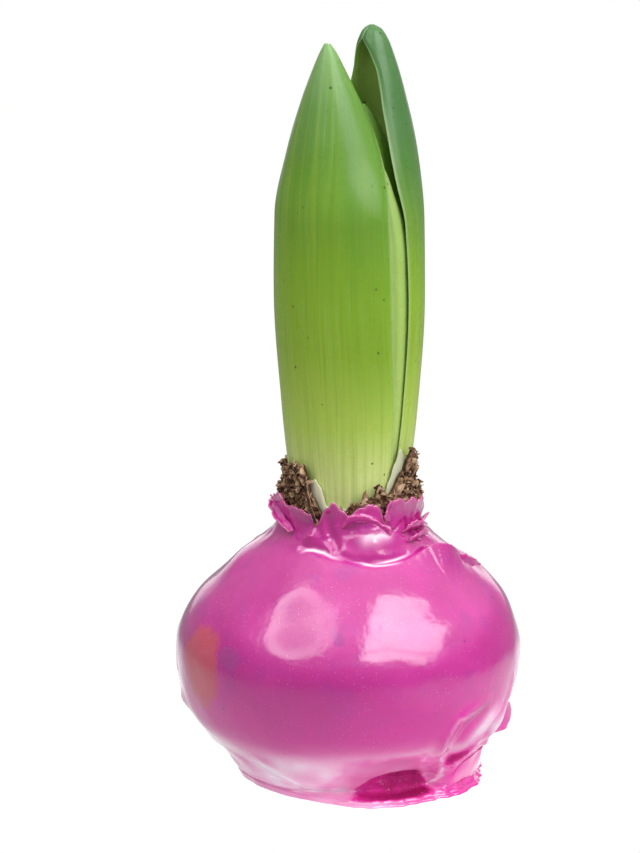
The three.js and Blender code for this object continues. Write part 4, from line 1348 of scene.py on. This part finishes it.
def crumbs(bed, density, size, crumple, seed):
    """Crumpled flakes of dry skin, scattered over the bed and each bent in its own way."""
    scatter = {"Mesh": bed, "Density": density, "Seed": seed}
    spread = bed.node("GeometryNodeDistributePointsOnFaces", scatter, {"distribute_method": "RANDOM"})
    facing = Value(bed.tree, spread.socket.node.outputs["Rotation"])

    def chance(low, high, number):
        inputs = {0: low, 1: high, "Seed": number}
        return bed.node("FunctionNodeRandomValue", inputs, {"data_type": "FLOAT_VECTOR"})

    store = {"Geometry": spread, "Name": "lay", "Value": chance((0, 0, 0), (0, 1, 0), 1)}
    vectors = {"data_type": "FLOAT_VECTOR", "domain": "POINT"}
    marked = bed.node("GeometryNodeStoreNamedAttribute", store, vectors)
    tilt = bed.node("FunctionNodeEulerToRotation", {0: chance(*FLAKE_TILT, 2)})
    turning = {"Rotation": facing, "Rotate By": tilt}
    turned = bed.node("FunctionNodeRotateRotation", turning, {"rotation_space": "LOCAL"})
    shape = chance(*FLAKE_SHAPE, 3).scaled(size)
    flake = bed.node("GeometryNodeMeshIcoSphere", {"Radius": MM, "Subdivisions": 2})
    placed = {"Points": marked, "Instance": flake, "Rotation": turned, "Scale": shape}
    laid = bed.node("GeometryNodeRealizeInstances", {0: bed.node("GeometryNodeInstanceOnPoints", placed)})
    place = bed.node("GeometryNodeInputPosition", {})
    waves = {"Vector": place, "Scale": 1 / (0.8 * MM), "Detail": 1.0}
    bend = place.node("ShaderNodeTexNoise", waves, output=1).vector("SUBTRACT", (0.5, 0.5, 0.5))
    bent = bed.node("GeometryNodeSetPosition", {"Geometry": laid, "Offset": bend.scaled(crumple)})
    return bed.node("GeometryNodeSetMaterial", {"Geometry": bent, "Material": tunic_skin})


# The stalk in section, as radius and z, and its florets. turn and lean are in degrees.
STALK = [(3.6, 38), (4.3, 46), (4.4, 54), (5, 60), (5.9, 70), (5.7, 80), (4.4, 90), (2.4, 97), (0.4, 98.8)]
FLORETS = dict(count=42, start=60, end=98, turn=137.5, long=3.3, wide=1.75, lift=0.9, lean=28)


def stalk():
    """The stalk in the middle of the shoot, which the florets stand on."""
    return skin(section_rows(STALK, 60, turns(48)), "poles")


def floret_points():
    """Where each floret sits. Its lay holds its angle and its lean in radians, and its size."""
    number = np.arange(FLORETS["count"])
    share = (number + 0.5) / FLORETS["count"]
    angle = number * FLORETS["turn"]
    z = FLORETS["start"] + (FLORETS["end"] - FLORETS["start"]) * share**0.85
    radius = through([(height, radius) for radius, height in STALK])(z) + FLORETS["lift"]
    points = polar(angle, radius, z, neck_shift(z))
    lean = np.radians(FLORETS["lean"] * (1 - share))
    return points, [], np.stack([np.radians(angle), lean, 1 - 0.45 * share], -1)


def florets(bed, long, wide):
    """An unopened floret, closed and pointed, on each point of the bed."""
    lay = bed.node("GeometryNodeInputNamedAttribute", {"Name": "lay"}, {"data_type": "FLOAT_VECTOR"})
    angle, lean, size = lay.parts()
    euler = bed.node("ShaderNodeCombineXYZ", {0: lean, 1: 0.0, 2: angle})
    turned = bed.node("FunctionNodeEulerToRotation", {0: euler})
    form = bed.node("GeometryNodeMeshUVSphere", {"Segments": 12, "Rings": 9, "Radius": 1.0})
    stretch = bed.node("ShaderNodeCombineXYZ", {0: size * wide, 1: size * wide, 2: size * long})
    points = bed.node("GeometryNodeMeshToPoints", {"Mesh": bed})
    placed = {"Points": points, "Instance": form, "Rotation": turned, "Scale": stretch}
    laid = bed.node("GeometryNodeRealizeInstances", {0: bed.node("GeometryNodeInstanceOnPoints", placed)})
    return bed.node("GeometryNodeSetMaterial", {"Geometry": laid, "Material": bud_skin})


# ---- put together -----------------------------------------------------------------------------------

wax_skin = wax_material()
leaf_skin = leaf_material()
tunic_skin = tunic_material()
scale_skin = scale_material()
bud_skin = bud_material()


def dress(piece, node, material):
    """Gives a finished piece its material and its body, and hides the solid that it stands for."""
    piece.data.materials.clear()
    piece.data.materials.append(material)
    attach(piece, "root")
    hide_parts(node)


dress(make_mesh("wax_shell", wax_coat()), "wax_coat", wax_skin)
for number, (name, rows) in enumerate(FLAPS.items()):
    body = flap(rows, FLAP_SEED + SEEDS_EACH * number, NEARLY_WHOLE.get(name, RAGGED))
    dress(make_mesh("wax_" + name, body), "wax_coat", wax_skin)
dress(make_mesh("bulb_scales", bulb()), "bulb", scale_skin)
dress(make_mesh("tunic_skin", tunic()), "tunic", tunic_skin)
dress(make_mesh("tunic_strip", flap(TUNIC_STRIP, STRIP_SEED)), "tunic", tunic_skin)
crumb_numbers = {"density": 2.2 / MM**2, "size": 0.6, "crumple": 1.7 * MM, "seed": 5}
grown = grow("tunic_crumbs", make_mesh("crumb_bed", crumb_bed()), crumb_numbers, crumbs)
dress(grown, "tunic", tunic_skin)
for name, shape in LEAVES.items():
    dress(make_mesh(name + "_blade", leaf(**shape)), name, leaf_skin)
dress(make_mesh("flower_stalk", stalk()), "flower_bud", bud_skin)
floret_numbers = {"long": FLORETS["long"] * MM, "wide": FLORETS["wide"] * MM}
grown = grow("closed_florets", make_mesh("floret_bed", floret_points()), floret_numbers, florets)
dress(grown, "flower_bud", bud_skin)

# ---- the studio -------------------------------------------------------------------------------------

AIM = Vector((0, 0, 40)) * MM
LIGHT_DISTANCE = 700
FLOOR_HALF = 1500
WHITE = (1, 1, 1, 1)


def soft_box(name, azimuth, elevation, long_way, shape, width, height, power, pattern):
    """A soft light with its long side along long_way. pattern gives its glow from its own u and v."""
    a, e = math.radians(azimuth), math.radians(elevation)
    light = bpy.data.lights.new(name, "AREA")
    light.shape = shape
    light.size = width * MM
    light.size_y = height * MM
    light.energy = power
    light.use_nodes = True
    light.node_tree.nodes.clear()
    face = Value(light.node_tree)
    u, v, _ = face.node("ShaderNodeNewGeometry", {}, output=5).parts()
    glow = face.node("ShaderNodeEmission", {"Color": WHITE, "Strength": pattern(u, v)})
    face.node("ShaderNodeOutputLight", {"Surface": glow}, output=None)
    made = bpy.data.objects.new(name, light)
    bpy.context.scene.collection.objects.link(made)
    towards = Vector((math.cos(e) * math.sin(a), -math.cos(e) * math.cos(a), math.sin(e)))
    side = Vector(long_way).cross(towards).normalized()
    turned = Matrix((side, towards.cross(side), towards)).transposed()
    made.matrix_world = Matrix.Translation(AIM + towards * LIGHT_DISTANCE * MM) @ turned.to_4x4()


def umbrella(u, v):
    """A ring that is brightest on one side."""
    x, y = u - 0.5, v - 0.5
    away = (x * x + y * y).math("SQRT")
    return away.smooth(0.2, 0.38) * (0.9 - x * 1.1) + 0.75


def window(u, v):
    """Two panes with a dim bar between them."""
    x, y = u - 0.5, v - 0.5
    bar = (y + 0.22).math("ABSOLUTE").smooth(0.07, 0.02)
    return 1.15 - bar * 0.55 - x * 0.4


def surroundings():
    """White behind the part. The light that they give is dim, but for the back and above."""
    world = bpy.data.worlds.new("studio")
    bpy.context.scene.world = world
    world.use_nodes = True
    world.node_tree.nodes.clear()
    sky = Value(world.node_tree)
    x, y, z = sky.node("ShaderNodeTexCoord", {}).parts()
    behind = y.smooth(0.82, 1) * 1.2
    above = z.smooth(0.1, 0.7) * (x * 0.25 + 0.5) + z.smooth(0.7, 1) * 0.5
    level = z.smooth(0.45, 0.02) * 0.14
    seen = sky.node("ShaderNodeLightPath", {}, output=0)
    strength = seen.math("MAXIMUM", seen, behind + above + level + 0.16)
    glow = sky.node("ShaderNodeBackground", {"Color": WHITE, "Strength": strength})
    sky.node("ShaderNodeOutputWorld", {"Surface": glow}, output=None)


def paper():
    """White to the camera. What the part mirrors of it is bright under its foot, behind and on the right."""
    made = bpy.data.materials.new("white_paper")
    made.use_nodes = True
    made.node_tree.nodes.clear()
    sheet = Value(made.node_tree)
    ground = sheet.node("ShaderNodeTexCoord", {}, output=3)
    x, y, _ = ground.parts()
    far = ground.length()
    near = far.smooth(0.04, 0.026) * (x.smooth(-0.022, 0) * 0.5 + 0.15)
    back = (y - x.math("ABSOLUTE") * 0.9).smooth(-0.03, 0.03) * far.smooth(0.18, 0.05) * 0.6
    right = x.smooth(0.03, 0.08) * far.smooth(0.25, 0.06) * 0.42
    around_it = far.smooth(0.17, 0.03) * 0.34
    seen = sheet.node("ShaderNodeLightPath", {}, output=0)
    strength = seen.math("MAXIMUM", seen, near + back + right + around_it + 0.28)
    bright = sheet.node("ShaderNodeEmission", {"Color": WHITE, "Strength": strength})
    sheet.node("ShaderNodeOutputMaterial", {"Surface": bright}, output=None)
    return made


soft_box(
    "soft_box_left", azimuth=-52, elevation=54, long_way=(0.1, 0.78, 0.45), shape="ELLIPSE",
    width=600, height=600, power=1.45, pattern=umbrella,
)
soft_box(
    "soft_box_right", azimuth=51, elevation=44, long_way=(-0.1, 0.78, 0.45), shape="RECTANGLE",
    width=560, height=600, power=3.8, pattern=window,
)
surroundings()
bpy.context.scene.view_settings.view_transform = "Standard"

corners = np.array([(-1, -1, 0), (1, -1, 0), (1, 1, 0), (-1, 1, 0)], float) * FLOOR_HALF
floor = make_mesh("floor", (corners, [[0, 1, 2, 3]], np.zeros_like(corners)))
floor.data.materials.append(paper())
